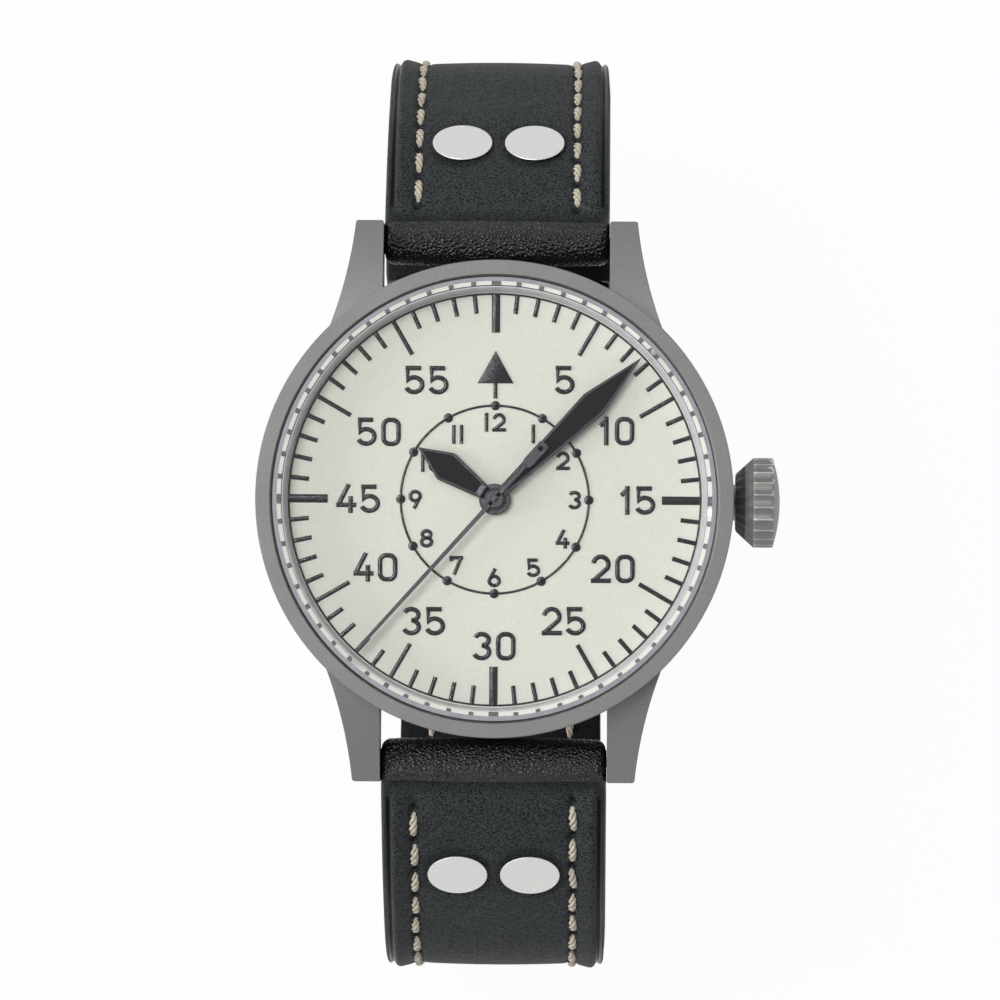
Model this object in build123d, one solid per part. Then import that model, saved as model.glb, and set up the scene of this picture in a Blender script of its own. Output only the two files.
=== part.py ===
from build123d import *
import os
from math import asin, atan2, cos, degrees, hypot, radians, sin, sqrt

# Pilot watch, millimetres. Origin: centre of the case back's outer face.
# +Z points out through the crystal, +Y to twelve o'clock, +X to the crown.

# Case
case_diameter = 42.0
bezel_width = 1.5
bezel_overhang = 0.3
bezel_chamfer = 0.25
back_thickness = 1.2
midcase_height = 7.4
bezel_height = 2.2
seat_width = 0.75
case_wall = 3.4
lug_reach = 3.8
lug_gap = 20.0
lug_tip_width = 2.45
lug_flare = 2.3
lug_bow = 0.35
lug_root_inset = 6.1
lug_tip_top = 5.2
lug_underside = 1.3
lug_shoulder_inset = 6.1
lug_bulge = 0.5
lug_edge_radius = 0.22
bar_from_tip = 1.8
bar_height = 3.5

# Case back and its gasket
back_boss_height = 1.0
back_boss_wall = 1.0
back_floor = 0.9
back_inset = 2.0
notch_width = 2.2
notch_length = 1.2
notch_depth = 0.6
notch_count = 6
back_gasket_inset = 0.7
back_gasket_width = 0.5
back_gasket_height = 0.5

# Crystal, gasket and inner ring
crystal_thickness = 1.7
crystal_chamfer = 0.38
crystal_gasket_width = 0.4
gasket_drop = 0.12
crystal_seat_depth = 0.9
inner_ring_slope = 0.5
inner_ring_wall = 0.15
inner_ring_play = 0.05

# Dial and its raised print
dial_thickness = 0.4
dial_play = 0.15
dial_hole_radius = 1.1
dial_foot_radius = 0.35
dial_foot_length = 0.6
dial_foot_at = 14.0
dial_foot_bearings = (100, 280)
print_height = 0.06
track_line = 0.2
minute_mark_length = 1.55
minute_mark_width = 0.4
five_mark_length = 3.3
quarter_mark_width = 0.75
triangle_apex_reach = 13.1
triangle_height = 2.87
triangle_width = 3.2
triangle_stem_length = 1.35
hour_circle_radius = 8.27
hour_circle_line = 0.17
hour_dot_radius = 0.42
outer_digit_height = 2.57
outer_digit_width = 1.6
outer_digit_stroke = 0.4
outer_digit_gap = 0.45
outer_number_reach = 12.3
inner_digit_height = 1.66
inner_digit_width = 0.95
inner_digit_stroke = 0.27
inner_digit_gap = 0.3
inner_number_reach = 6.9

# Hands: seven minutes and thirty-seven seconds past ten
hour_hand_turn = -303.8
minute_hand_turn = -45.7
seconds_hand_turn = -222.0
hand_gap = 0.2
hand_thickness = 0.22
hour_hand_reach = 8.2
hour_hand_widest_at = 5.2
hour_hand_width = 2.74
hour_hand_neck = 0.95
hour_hub_radius = 1.38
minute_hand_reach = 18.0
minute_hand_widest_at = 12.1
minute_hand_width = 2.44
minute_hand_neck = 0.8
minute_hub_radius = 0.95
hand_frame = 0.4
window_neck_share = 0.125
inlay_thickness = 0.16
hour_inlay_start = 2.0
minute_inlay_start = 3.2
hand_lift = 0.45
pin_stick_out = 0.12
seconds_hand_reach = 18.0
seconds_width = 0.42
seconds_tail_rod = 4.0
seconds_tail_end = 6.6
seconds_tail_width = 0.95
seconds_tail_hole_at = 6.0
seconds_tail_hole_radius = 0.22
seconds_hub_radius = 0.75

# Movement plates
movement_radius = 15.0
ring_play = 0.05
plate_thickness = 1.2
plate_rim_width = 2.0
plate_wall_width = 1.4
bridge_thickness = 0.65
bridge_margin = 0.2
bridge_split = 0.15
centre_pad_radius = 2.2
crown_pad_radius = 2.6
cock_radius = 4.2
cock_foot_length = 1.8
cock_foot_half_turn = 20
pallet_bridge_height = 0.18
pallet_bridge_width = 1.2
pallet_post_radius = 0.4
pallet_post_offset = 2.3
jewel_radius = 0.45
jewel_height = 0.25
pivot_radius = 0.08
pivot_play = 0.02
arbor_radius = 0.15
arbor_end_play = 0.05
centre_hub_radius = 0.84
wheel_hub_radius = 0.6
third_hub_radius = 0.45
escape_hub_radius = 0.38
escape_arm = 0.3
reversing_post_radius = 0.3
running_play = 0.05
screw_head_radius = 0.5
screw_head_height = 0.28
screw_shank_radius = 0.25
screw_depth = 1.2
screw_inset = 0.8
barrel_bridge_bearings = (30, 90, 150)
train_bridge_bearings = (345, 310, 260)
cock_bearings = (199, 231)
bridge_screw_bearings = barrel_bridge_bearings + train_bridge_bearings + cock_bearings
clamp_bearings = (60, 180, 300)
clamp_width = 1.6
clamp_thickness = 0.28
clamp_overlap = 0.45
clamp_stick_out = 1.4
clamp_screw_offset = 0.65

# Height gaps through the movement, from the rotor up to the dial
rotor_gap = 0.35
rotor_web = 0.4
rotor_weight_height = 0.65
rotor_weight_width = 2.6
rotor_radius = 15.0
rotor_hub_radius = 2.6
rotor_bore_radius = 1.05
rotor_pinion_height = 0.3
rotor_spread = 176
rotor_bearing = 270
rotor_screw_radius = 1.5
rotor_screw_height = 0.25
level_gap = 0.15
wheel_height = 0.15
ratchet_height = 0.35
pinion_face = 0.3
escape_pinion_face = 0.32
barrel_height = 1.35
barrel_rim_height = 0.4
barrel_wall = 0.25
plate_gap = 0.2
motion_space = 0.7

# Gear train: tooth counts and tooth sizes
barrel_teeth = 78
centre_pinion_teeth = 12
barrel_module = 0.14
centre_teeth = 80
third_pinion_teeth = 10
centre_module = 0.13
third_teeth = 75
fourth_pinion_teeth = 10
fourth_teeth = 84
escape_pinion_teeth = 7
fourth_module = 0.13
escape_teeth = 15
escape_radius = 2.0
cannon_teeth = 12
minute_wheel_teeth = 36
cannon_module = 0.125
minute_pinion_teeth = 12
hour_wheel_teeth = 48
ratchet_teeth = 42
crown_wheel_teeth = 42
winding_module = 0.2
rotor_pinion_teeth = 24
reversing_teeth = 30
rotor_module = 0.14
barrel_bearing = 70
third_bearing = 290
escape_bearing = 215
minute_wheel_bearing = 140
reversing_bearing = 200
tip_share = 0.75
root_share = 1.15
root_width_share = 0.30
tip_width_share = 0.10
rim_inner_share = 0.86
escape_root_share = 0.82
escape_web_share = 0.7
escape_heel_share = -0.42
escape_foot_share = 0.2
escape_tip_shares = (0.4, 0.46)

# Tubes and arbors at the dial's centre
seconds_arbor_radius = 0.15
centre_arbor_radius = 0.42
centre_arbor_bore = 0.2
cannon_radius = 0.62
hour_tube_radius = 0.95
barrel_arbor_radius = 0.6
barrel_core_radius = 1.3
mainspring_turns = 6
mainspring_strip = 0.14
hairspring_turns = 8
hairspring_strip = 0.05
hairspring_inner = 0.6
hairspring_outer = 2.6
spiral_steps = 16

# Balance and lever
balance_radius = 3.9
balance_rim = 0.4
balance_height = 0.4
balance_arm = 0.5
balance_reach = 2.68
roller_radius = 0.55
roller_pin_reach = 0.4
roller_pin_radius = 0.06
fork_width = 0.3
fork_play = 0.12
stone_width = 0.22
stone_length = 0.45
stone_play = 0.13
stone_half_turn = 30
stone_seat_width = 0.48

# Winding work
crown_diameter = 7.95
crown_face_diameter = 4.84
crown_start = 0.2
crown_cone = 1.63
crown_land = 1.6
crown_dome = 0.7
crown_dome_rise = 0.18
crown_end_diameter = 6.7
crown_height = 5.0
crown_flutes = 22
flute_radius = 0.36
flute_depth = 0.2
tube_radius = 1.6
tube_bore_radius = 0.62
tube_stick_out = 1.7
crown_gasket_radius = 2.0
crown_gasket_from_face = 0.6
crown_gasket_length = 0.6
crown_pocket = 2.4
stem_radius = 0.55
stem_pilot = 0.4
stem_socket = 0.8
winding_pinion_length = 1.3
winding_pinion_radius = 1.35
winding_pinion_teeth = 14
sliding_pinion_length = 1.4
sliding_pinion_radius = 1.1
crown_neck_radius = 1.5
crown_ring_teeth = 23
click_reach = 5.5
click_bearing = 100
click_length = 2.2
click_spring_reach = 3.3
click_tilt = 33
click_width = 0.7
click_post_radius = 0.3
click_spring_width = 0.12

# Strap: run and turn sizes are on the middle line of the leather
strap_side_play = 0.1
strap_lug_thickness = 4.0
strap_thickness = 2.6
strap_taper_length = 45.0
strap_end_width = 18.0
strap_straight_length = 24.0
strap_tip_width = 7.0
strap_tip_length = 9.0
tip_station_shares = (0.0, 0.04, 0.12, 0.25, 0.45, 0.7)
lining_thickness = 0.7
strap_start_tilt = 35
shoulder_turn_radius = 38.0
shoulder_turn = 27
side_run = 4.8
side_turn_radius = 22.0
side_turn = 28
upper_curl_radius = 12.0
upper_curl = 100
upper_end_run = 20.6
lower_drop = 8.0
lower_curl_radius = 22.9
lower_curl = 90
lower_end_run = 37.5
station_step = 3.0
lining_start = 5.0
bar_play = 0.03
rivet_radius = 2.65
rivet_height = 0.8
rivet_lift = 0.1
rivet_shank_radius = 0.8
rivet_spacing = 6.45
upper_rivet_distance = 10.7
lower_rivet_distance = 11.6
hole_radius = 0.95
hole_pitch = 6.5
hole_count = 6
first_hole_from_tip = 20.0

# Spring bars, keepers and buckle
bar_radius = 0.9
bar_pivot_radius = 0.45
bar_pivot_length = 1.1
bar_pivot_play = 0.05
buckle_bar_radius = 0.7
buckle_eye_radius = 1.5
buckle_arm_width = 2.0
buckle_side_play = 0.2
buckle_back = 1.5
buckle_length = 13.5
buckle_crossbar = 2.4
buckle_thickness = 1.9
buckle_corner = 1.6
tongue_width = 2.0
tongue_hub_radius = 1.35
tongue_thickness = 0.9
tongue_overhang = 0.6
tongue_slot_play = 0.5
tongue_slot_length = 3.6
keeper_wall = 1.1
keeper_length = 4.0
keeper_side_play = 0.3
keeper_play = 0.2
fixed_keeper_from_bar = 8.3
free_keeper_from_fixed = 10.3

overrun = 1.0

# Sizes worked out from the ones above
case_radius = case_diameter / 2
midcase_radius = case_radius - bezel_overhang
midcase_top = back_thickness + midcase_height
bezel_top = midcase_top + bezel_height
bezel_bore = case_radius - bezel_width
crystal_radius = bezel_bore - crystal_gasket_width
crystal_bottom = bezel_top - crystal_seat_depth
crystal_top = crystal_bottom + crystal_thickness
seat_radius = bezel_bore - seat_width
movement_bore = midcase_radius - case_wall
back_radius = case_radius - back_inset
back_gasket_radius = back_radius - back_gasket_inset
dial_radius = seat_radius - dial_play
lug_tip_y = case_radius + lug_reach
lug_root_y = case_radius - lug_root_inset
lug_shoulder_y = case_radius - lug_shoulder_inset
bar_y = lug_tip_y - bar_from_tip
bridge_radius = movement_radius - bridge_margin
cock_foot_inner = bridge_radius - cock_foot_length
screw_ring_radius = movement_radius - screw_inset
clamp_inner = movement_radius - clamp_overlap
clamp_outer = movement_radius + clamp_stick_out
clamp_screw_at = movement_radius + clamp_screw_offset

# Heights through the movement, from the rotor up to the dial and the hands
rotor_bottom = back_floor + rotor_gap
rotor_top = rotor_bottom + rotor_weight_height
ratchet_bottom = rotor_top + level_gap
ratchet_top = ratchet_bottom + ratchet_height
bridge_bottom = ratchet_top + level_gap
bridge_top = bridge_bottom + bridge_thickness
fourth_bottom = bridge_top + level_gap
third_bottom = fourth_bottom + wheel_height + level_gap
barrel_top = third_bottom + barrel_height
centre_bottom = barrel_top + level_gap
plate_bottom = centre_bottom + wheel_height + plate_gap
plate_top = plate_bottom + plate_thickness
dial_bottom = plate_top + motion_space
dial_top = dial_bottom + dial_thickness
balance_bottom = fourth_bottom + wheel_height + level_gap
lever_bridge_bottom = balance_bottom + balance_height + level_gap
escape_bottom = lever_bridge_bottom + pallet_bridge_height + level_gap
hour_hand_bottom = dial_top + hand_lift
minute_hand_bottom = hour_hand_bottom + hand_thickness + hand_gap
seconds_hand_bottom = minute_hand_bottom + hand_thickness + hand_gap
seconds_arbor_top = seconds_hand_bottom + hand_thickness + pin_stick_out

# Print radii, from the rim of the dial inwards
track_outer = seat_radius - inner_ring_wall - inner_ring_slope + track_line
track_inner = track_outer - track_line

rotor_web_bottom = rotor_top - rotor_web
low_face = (Align.CENTER, Align.CENTER, Align.MIN)


def disc(radius, low, high, place=(0, 0)):
    return Pos(place[0], place[1], low) * Cylinder(radius, high - low, align=low_face)


def ring(outer, inner, low, high, place=(0, 0)):
    hole = disc(inner, low - overrun, high + overrun, place)
    return disc(outer, low, high, place) - hole


def block(x_low, x_high, y_low, y_high, z_low, z_high):
    size = (x_high - x_low, y_high - y_low, z_high - z_low)
    middle = ((x_low + x_high) / 2, (y_low + y_high) / 2, (z_low + z_high) / 2)
    return Pos(*middle) * Box(*size)


def rod_along_x(radius, start, end, height=0):
    return Pos(start, 0, height) * Rot(0, 90, 0) * Cylinder(radius, end - start, align=low_face)


def plate(points, low, high):
    outline = make_face(Polyline(*points, close=True))
    return Pos(0, 0, low) * extrude(outline, high - low)


def turned(points):
    """Solid of revolution about Z from (radius, height) points."""
    outline = make_face(Polyline(*[(radius, 0, height) for radius, height in points], close=True))
    return revolve(outline, Axis.Z)


def polar(reach, bearing, centre=(0, 0)):
    x = centre[0] + reach * cos(radians(bearing))
    y = centre[1] + reach * sin(radians(bearing))
    return (x, y)


def sector(outer, inner, from_turn, to_turn, low, high):
    """Piece of a flat ring between two bearings less than half a turn apart."""
    reach = outer / cos(radians((to_turn - from_turn) / 4))
    middle = (from_turn + to_turn) / 2
    fan = [(0, 0), polar(reach, from_turn), polar(reach, middle), polar(reach, to_turn)]
    return ring(outer, inner, low, high) & plate(fan, low, high)


def gear(teeth, module, low, high, place, tooth_bearing, in_gap=False):
    """Straight-flanked gear with a tooth, or a gap, on the given bearing."""
    pitch = 360 / teeth
    pitch_radius = teeth * module / 2
    tip_radius = pitch_radius + tip_share * module
    root_radius = pitch_radius - root_share * module
    first = tooth_bearing + (pitch / 2 if in_gap else 0)
    points = []
    for tooth in range(teeth):
        middle = first + tooth * pitch
        points.append(polar(root_radius, middle - root_width_share * pitch, place))
        points.append(polar(tip_radius, middle - tip_width_share * pitch, place))
        points.append(polar(tip_radius, middle + tip_width_share * pitch, place))
        points.append(polar(root_radius, middle + root_width_share * pitch, place))
    return plate(points, low, high)


def arbor(place, low, high):
    """Arbor turning in a jewel at each end, between the bridge and the plate."""
    body = disc(arbor_radius, low + arbor_end_play, high - arbor_end_play, place)
    reach = jewel_height - arbor_end_play
    pivots = disc(pivot_radius, low - reach, high + reach, place)
    return body + pivots


def spoked(wheel, low, high, place, rim_inner, hub_outer, arm_width, arms):
    """Cut the web of a wheel away between its arms."""
    opening = ring(rim_inner, hub_outer, low - overrun, high + overrun, place)
    for arm in range(arms):
        bar = Box(2 * rim_inner + overrun, arm_width, high - low + 2 * overrun)
        opening -= Pos(place[0], place[1], (low + high) / 2) * Rot(0, 0, 180 * arm / arms) * bar
    return wheel - opening


def spiral(inner, outer, strip, turns, low, high, place):
    """Flat coiled strip whose radius grows steadily with its turn."""
    steps = turns * spiral_steps
    outside, inside = [], []
    for step in range(steps + 1):
        reach = inner + (outer - inner) * step / steps
        bearing = 360 * step / spiral_steps
        outside.append(polar(reach + strip / 2, bearing, place))
        inside.append(polar(reach - strip / 2, bearing, place))
    return plate(outside + inside[::-1], low, high)


def group(pieces):
    return Compound(children=[solid for piece in pieces for solid in piece.solids()])


def spread(piece, bearings):
    return [Rot(0, 0, bearing) * piece for bearing in bearings]


# Places of the arbors, from the gear sizes
barrel_at = polar((barrel_teeth + centre_pinion_teeth) * barrel_module / 2, barrel_bearing)
third_reach = (centre_teeth + third_pinion_teeth) * centre_module / 2
third_at = polar(third_reach, third_bearing)
third_module = 2 * third_reach / (third_teeth + fourth_pinion_teeth)
escape_reach = (fourth_teeth + escape_pinion_teeth) * fourth_module / 2
escape_at = polar(escape_reach, escape_bearing)
lever_at = polar(escape_reach + escape_radius / cos(radians(stone_half_turn)), escape_bearing)
balance_at = polar(balance_reach, escape_bearing, lever_at)
minute_wheel_reach = (cannon_teeth + minute_wheel_teeth) * cannon_module / 2
minute_wheel_at = polar(minute_wheel_reach, minute_wheel_bearing)
hour_module = 2 * minute_wheel_reach / (minute_pinion_teeth + hour_wheel_teeth)
winding_reach = (ratchet_teeth + crown_wheel_teeth) * winding_module / 2
crown_wheel_bearing = -degrees(asin(barrel_at[1] / winding_reach))
crown_wheel_at = polar(winding_reach, crown_wheel_bearing, barrel_at)
winding_pinion_x = crown_wheel_at[0] + crown_ring_teeth * winding_module / 2 - winding_pinion_length / 2
sliding_pinion_x = winding_pinion_x - level_gap - sliding_pinion_length
stem_tip_x = sliding_pinion_x - stem_pilot
reversing_reach = (rotor_pinion_teeth + reversing_teeth) * rotor_module / 2
reversing_at = polar(reversing_reach, reversing_bearing)
click_at = polar(click_reach, click_bearing, barrel_at)


# Midcase with its four lugs
def make_midcase():
    body = ring(midcase_radius, movement_bore, back_thickness, midcase_top)
    tip_x = lug_gap / 2 + lug_tip_width
    root_x = tip_x + lug_flare
    half_length = lug_tip_y
    middle_y = (half_length + lug_root_y) / 2
    outer_edge = ThreePointArc(
        (tip_x, half_length), ((tip_x + root_x) / 2 - lug_bow, middle_y), (root_x, lug_root_y)
    )
    rest = Polyline(
        (root_x, lug_root_y), (lug_gap / 2, lug_root_y), (lug_gap / 2, half_length), (tip_x, half_length)
    )
    plan = Pos(0, 0, back_thickness) * extrude(make_face([outer_edge, rest]), midcase_height)
    tips = plan.edges().filter_by(Axis.Z).group_by(Axis.Y)[-1]
    plan = fillet(tips, lug_edge_radius)
    shoulder = ThreePointArc(
        (0, lug_shoulder_y, midcase_top),
        (0, (lug_shoulder_y + half_length) / 2, (midcase_top + lug_tip_top) / 2 + lug_bulge),
        (0, half_length + overrun, lug_tip_top - lug_bulge),
    )
    around = Polyline(
        (0, half_length + overrun, lug_tip_top - lug_bulge),
        (0, half_length + overrun, lug_underside),
        (0, 0, lug_underside),
        (0, 0, midcase_top),
        (0, lug_shoulder_y, midcase_top),
    )
    side = extrude(make_face([shoulder, around]), root_x, both=True)
    lug = (plan & side) - disc(movement_bore, 0, midcase_top + overrun)
    hole = block(
        lug_gap / 2 - overrun, lug_gap / 2 + bar_pivot_length + bar_pivot_play,
        bar_y - overrun, bar_y + overrun, bar_height - overrun, bar_height + overrun,
    ) & (Pos(0, bar_y, 0) * rod_along_x(bar_pivot_radius + bar_pivot_play, 0, root_x, bar_height))
    lug -= hole
    for across in (False, True):
        for down in (False, True):
            one = mirror(lug, Plane.YZ) if across else lug
            body += mirror(one, Plane.XZ) if down else one
    body -= disc(seat_radius, dial_bottom, midcase_top + overrun)
    groove = ring(
        back_gasket_radius + back_gasket_width / 2, back_gasket_radius - back_gasket_width / 2,
        back_thickness, back_thickness + back_gasket_height,
    )
    return body - groove - rod_along_x(tube_radius, movement_bore - overrun, case_radius, crown_height)


def make_bezel():
    return turned([
        (seat_radius, midcase_top),
        (case_radius, midcase_top),
        (case_radius, bezel_top),
        (bezel_bore + bezel_chamfer, bezel_top),
        (bezel_bore, bezel_top - bezel_chamfer),
        (bezel_bore, crystal_bottom),
        (seat_radius, crystal_bottom),
    ])


def make_crystal():
    return turned([
        (0, crystal_bottom),
        (crystal_radius, crystal_bottom),
        (crystal_radius, crystal_top - crystal_chamfer),
        (crystal_radius - crystal_chamfer, crystal_top),
        (0, crystal_top),
    ])


def make_inner_ring():
    outer = seat_radius - inner_ring_play
    return turned([
        (track_outer, dial_top),
        (outer, dial_top),
        (outer, crystal_bottom - ring_play),
        (seat_radius - inner_ring_wall, crystal_bottom - ring_play),
    ])


def make_case_back():
    body = disc(back_radius, 0, back_thickness)
    body += disc(movement_bore - ring_play, back_thickness, back_thickness + back_boss_height)
    hollow_radius = movement_bore - ring_play - back_boss_wall
    body -= disc(hollow_radius, back_floor, back_thickness + back_boss_height + overrun)
    notch = block(
        back_radius - notch_length, back_radius + overrun, -notch_width / 2, notch_width / 2,
        -overrun, notch_depth,
    )
    for piece in spread(notch, [360 * turn / notch_count for turn in range(notch_count)]):
        body -= piece
    return body


# Dial, its feet and its raised print
def make_dial():
    body = ring(dial_radius, dial_hole_radius, dial_bottom, dial_top)
    foot = disc(dial_foot_radius, dial_bottom - dial_foot_length, dial_bottom, (dial_foot_at, 0))
    for piece in spread(foot, dial_foot_bearings):
        body += piece
    return body


# Strokes of plain numerals, as shares of a digit's width and height
digit_stroke_shares = {
    "0": [(0, 0.25), (0, 0.75), (0.25, 1), (0.75, 1), (1, 0.75), (1, 0.25), (0.75, 0), (0.25, 0), (0, 0.25)],
    "1": [(0.15, 0.72), (0.6, 1), (0.6, 0)],
    "2": [(0, 0.75), (0.25, 1), (0.75, 1), (1, 0.75), (0.9, 0.5), (0, 0), (1, 0)],
    "3": [(0, 0.8), (0.25, 1), (0.75, 1), (1, 0.77), (0.7, 0.53), (1, 0.25), (0.75, 0), (0.25, 0), (0, 0.2)],
    "4": [(0.72, 0), (0.72, 1), (0, 0.28), (1, 0.28)],
    "5": [(0.9, 1), (0.15, 1), (0.08, 0.52), (0.7, 0.62), (1, 0.35), (0.75, 0), (0.25, 0), (0, 0.18)],
    "6": [(0.9, 0.9), (0.6, 1), (0.2, 0.85), (0, 0.35), (0.25, 0), (0.75, 0), (1, 0.3), (0.7, 0.58),
          (0.1, 0.5)],
    "7": [(0, 1), (1, 1), (0.35, 0)],
    "8": [(0.3, 0.54), (0.05, 0.77), (0.3, 1), (0.7, 1), (0.95, 0.77), (0.7, 0.54), (0.3, 0.54),
          (0, 0.25), (0.25, 0), (0.75, 0), (1, 0.25), (0.7, 0.54)],
    "9": [(0.1, 0.1), (0.4, 0), (0.8, 0.15), (1, 0.65), (0.75, 1), (0.25, 1), (0, 0.7), (0.3, 0.42),
          (0.9, 0.5)],
}


def stroke(start, end, width):
    length = hypot(end[0] - start[0], end[1] - start[1])
    turn = degrees(atan2(end[1] - start[1], end[0] - start[0]))
    middle = ((start[0] + end[0]) / 2, (start[1] + end[1]) / 2)
    return Pos(*middle) * Rot(0, 0, turn) * SlotCenterToCenter(length, width)


def numeral(text, centre, height, width, line, gap):
    """Upright number, each digit one flat solid on the dial."""
    pieces = []
    advance = width + gap + line
    start_x = centre[0] - (len(text) - 1) * advance / 2 - width / 2
    for place, digit in enumerate(text):
        sketch = Sketch()
        corners = [
            (start_x + place * advance + x_share * (width - line) + line / 2,
             centre[1] - height / 2 + line / 2 + y_share * (height - line))
            for x_share, y_share in digit_stroke_shares[digit]
        ]
        for start, end in zip(corners, corners[1:]):
            sketch += stroke(start, end, line)
        pieces.append(Pos(0, 0, dial_top) * extrude(sketch, print_height))
    return pieces


def make_print():
    high = dial_top + print_height
    pieces = [ring(track_outer - ring_play, track_inner, dial_top, high)]
    for minute in range(1, 60):
        bearing = 90 - 6 * minute
        length = five_mark_length if minute % 5 == 0 else minute_mark_length
        width = quarter_mark_width if minute % 15 == 0 else minute_mark_width
        mark = block(track_inner - length, track_inner, -width / 2, width / 2, dial_top, high)
        pieces[0] += Rot(0, 0, bearing) * mark
    base = triangle_apex_reach - triangle_height
    triangle = plate(
        [(-triangle_width / 2, base), (triangle_width / 2, base), (0, triangle_apex_reach)], dial_top, high
    )
    half = minute_mark_width / 2
    top_mark = block(-quarter_mark_width / 2, quarter_mark_width / 2, track_inner - five_mark_length,
                     track_inner, dial_top, high)
    pieces[0] += top_mark
    stem = block(-half, half, base - triangle_stem_length, base, dial_top, high)
    pieces.append(triangle + stem)
    circle = ring(
        hour_circle_radius + hour_circle_line / 2, hour_circle_radius - hour_circle_line / 2, dial_top, high
    )
    for hour in range(12):
        circle += disc(hour_dot_radius, dial_top, high, polar(hour_circle_radius, 30 * hour))
    pieces.append(circle)
    for hour in range(1, 13):
        bearing = 90 - 30 * hour
        pieces += numeral(str(hour), polar(inner_number_reach, bearing), inner_digit_height,
                          inner_digit_width, inner_digit_stroke, inner_digit_gap)
        if hour < 12:
            pieces += numeral(f"{5 * hour:02d}".lstrip("0"), polar(outer_number_reach, bearing),
                              outer_digit_height, outer_digit_width, outer_digit_stroke, outer_digit_gap)
    return group(pieces)


# Hands, drawn pointing to twelve and then turned to the time
def hand_outline(start, widest_at, reach, neck, width, inset=0):
    half = width / 2 - inset
    tip_inset = inset * reach / width * 2
    return [
        (-max(neck / 2 - inset, neck * window_neck_share), start),
        (-half, widest_at),
        (0, reach - min(tip_inset, (reach - widest_at) / 2)),
        (half, widest_at),
        (max(neck / 2 - inset, neck * window_neck_share), start),
    ]


def make_framed_hand(bottom, hub, bore, neck, widest_at, width, reach, inlay_start, turn):
    """Skeleton hand with an inlay filling its window."""
    top = bottom + hand_thickness
    frame = plate(hand_outline(0, widest_at, reach, neck, width), bottom, top) + disc(hub, bottom, top)
    start_share = inlay_start / widest_at
    neck_there = neck + (width - neck) * start_share
    window = hand_outline(inlay_start, widest_at, reach, neck_there, width, hand_frame)
    frame -= plate(window, bottom - overrun, top + overrun)
    frame -= disc(bore, bottom - overrun, top + overrun)
    inlay = plate(window, bottom, bottom + inlay_thickness)
    return Rot(0, 0, turn) * frame, Rot(0, 0, turn) * inlay


def make_seconds_hand():
    low = seconds_hand_bottom
    high = low + hand_thickness
    half = seconds_width / 2
    body = block(-half, half, 0, seconds_hand_reach, low, high)
    body += block(-half, half, -seconds_tail_rod, 0, low, high)
    wide = seconds_tail_width / 2
    body += block(-wide, wide, -seconds_tail_end, -seconds_tail_rod, low, high)
    body += disc(seconds_hub_radius, low, high)
    body -= disc(seconds_tail_hole_radius, low - overrun, high + overrun, (0, -seconds_tail_hole_at))
    body -= disc(seconds_arbor_radius, low - overrun, high + overrun)
    return Rot(0, 0, seconds_hand_turn) * body


# Crown set, on the X axis at the crown's height
def make_crown():
    start = case_radius + crown_start
    cone_end = start + crown_cone
    land_end = cone_end + crown_land
    end = land_end + crown_dome
    points = [
        (start, 0, 0),
        (start, 0, crown_face_diameter / 2),
        (cone_end, 0, crown_diameter / 2),
        (land_end, 0, crown_diameter / 2),
        (end - crown_dome_rise, 0, crown_end_diameter / 2),
        (end, 0, 0),
    ]
    body = revolve(make_face(Polyline(*points, close=True)), Axis.X)
    for turn in range(crown_flutes):
        groove = Pos(0, 0, crown_diameter / 2 + flute_radius - flute_depth) * rod_along_x(
            flute_radius, start, end + overrun
        )
        body -= Rot(360 * turn / crown_flutes, 0, 0) * groove
    body -= rod_along_x(crown_gasket_radius, start - overrun, start + crown_pocket)
    body -= rod_along_x(stem_radius, start, start + crown_pocket + stem_socket)
    return Pos(0, 0, crown_height) * body


def tube_along_x(outer, inner, start, end):
    return rod_along_x(outer, start, end, crown_height) - rod_along_x(
        inner, start - overrun, end + overrun, crown_height
    )


def make_winding_pinion():
    """Toothed sleeve on the stem, clear of the crown wheel's rim."""
    module = 2 * winding_pinion_radius / (winding_pinion_teeth + 2 * tip_share)
    wheel = gear(winding_pinion_teeth, module, 0, winding_pinion_length, (0, 0), 0)
    wheel -= disc(stem_radius + running_play, -overrun, winding_pinion_length + overrun)
    return Pos(winding_pinion_x, 0, crown_height) * Rot(0, 90, 0) * wheel


# Movement plates
def make_mainplate():
    body = disc(movement_radius, plate_bottom, plate_top)
    body += ring(movement_radius, movement_radius - plate_wall_width, bridge_top, plate_bottom)
    body += ring(movement_radius, movement_radius - plate_rim_width, plate_top, dial_bottom)
    body -= disc(balance_radius + plate_gap, bridge_top - overrun, plate_bottom, balance_at)
    body -= disc(centre_arbor_radius + running_play, bridge_top, dial_bottom)
    bore = barrel_arbor_radius + running_play
    body -= disc(bore, bridge_top, plate_bottom + plate_thickness / 2, barrel_at)
    for place in (third_at, escape_at, lever_at, balance_at):
        body -= disc(jewel_radius, plate_bottom - overrun, plate_bottom + jewel_height, place)
    body -= rod_along_x(tube_bore_radius, stem_tip_x - overrun, movement_radius + overrun, crown_height)
    reach = winding_pinion_radius + level_gap
    body -= block(
        sliding_pinion_x - level_gap, winding_pinion_x + winding_pinion_length + level_gap,
        -reach, reach, bridge_top, crown_height + reach,
    )
    for piece in spread(disc(dial_foot_radius, dial_bottom - dial_foot_length, dial_bottom + overrun,
                             (dial_foot_at, 0)), dial_foot_bearings):
        body -= piece
    for bearing in bridge_screw_bearings:
        body -= disc(screw_shank_radius, bridge_top - overrun, bridge_top + screw_depth,
                     polar(screw_ring_radius, bearing))
    return body


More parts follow.
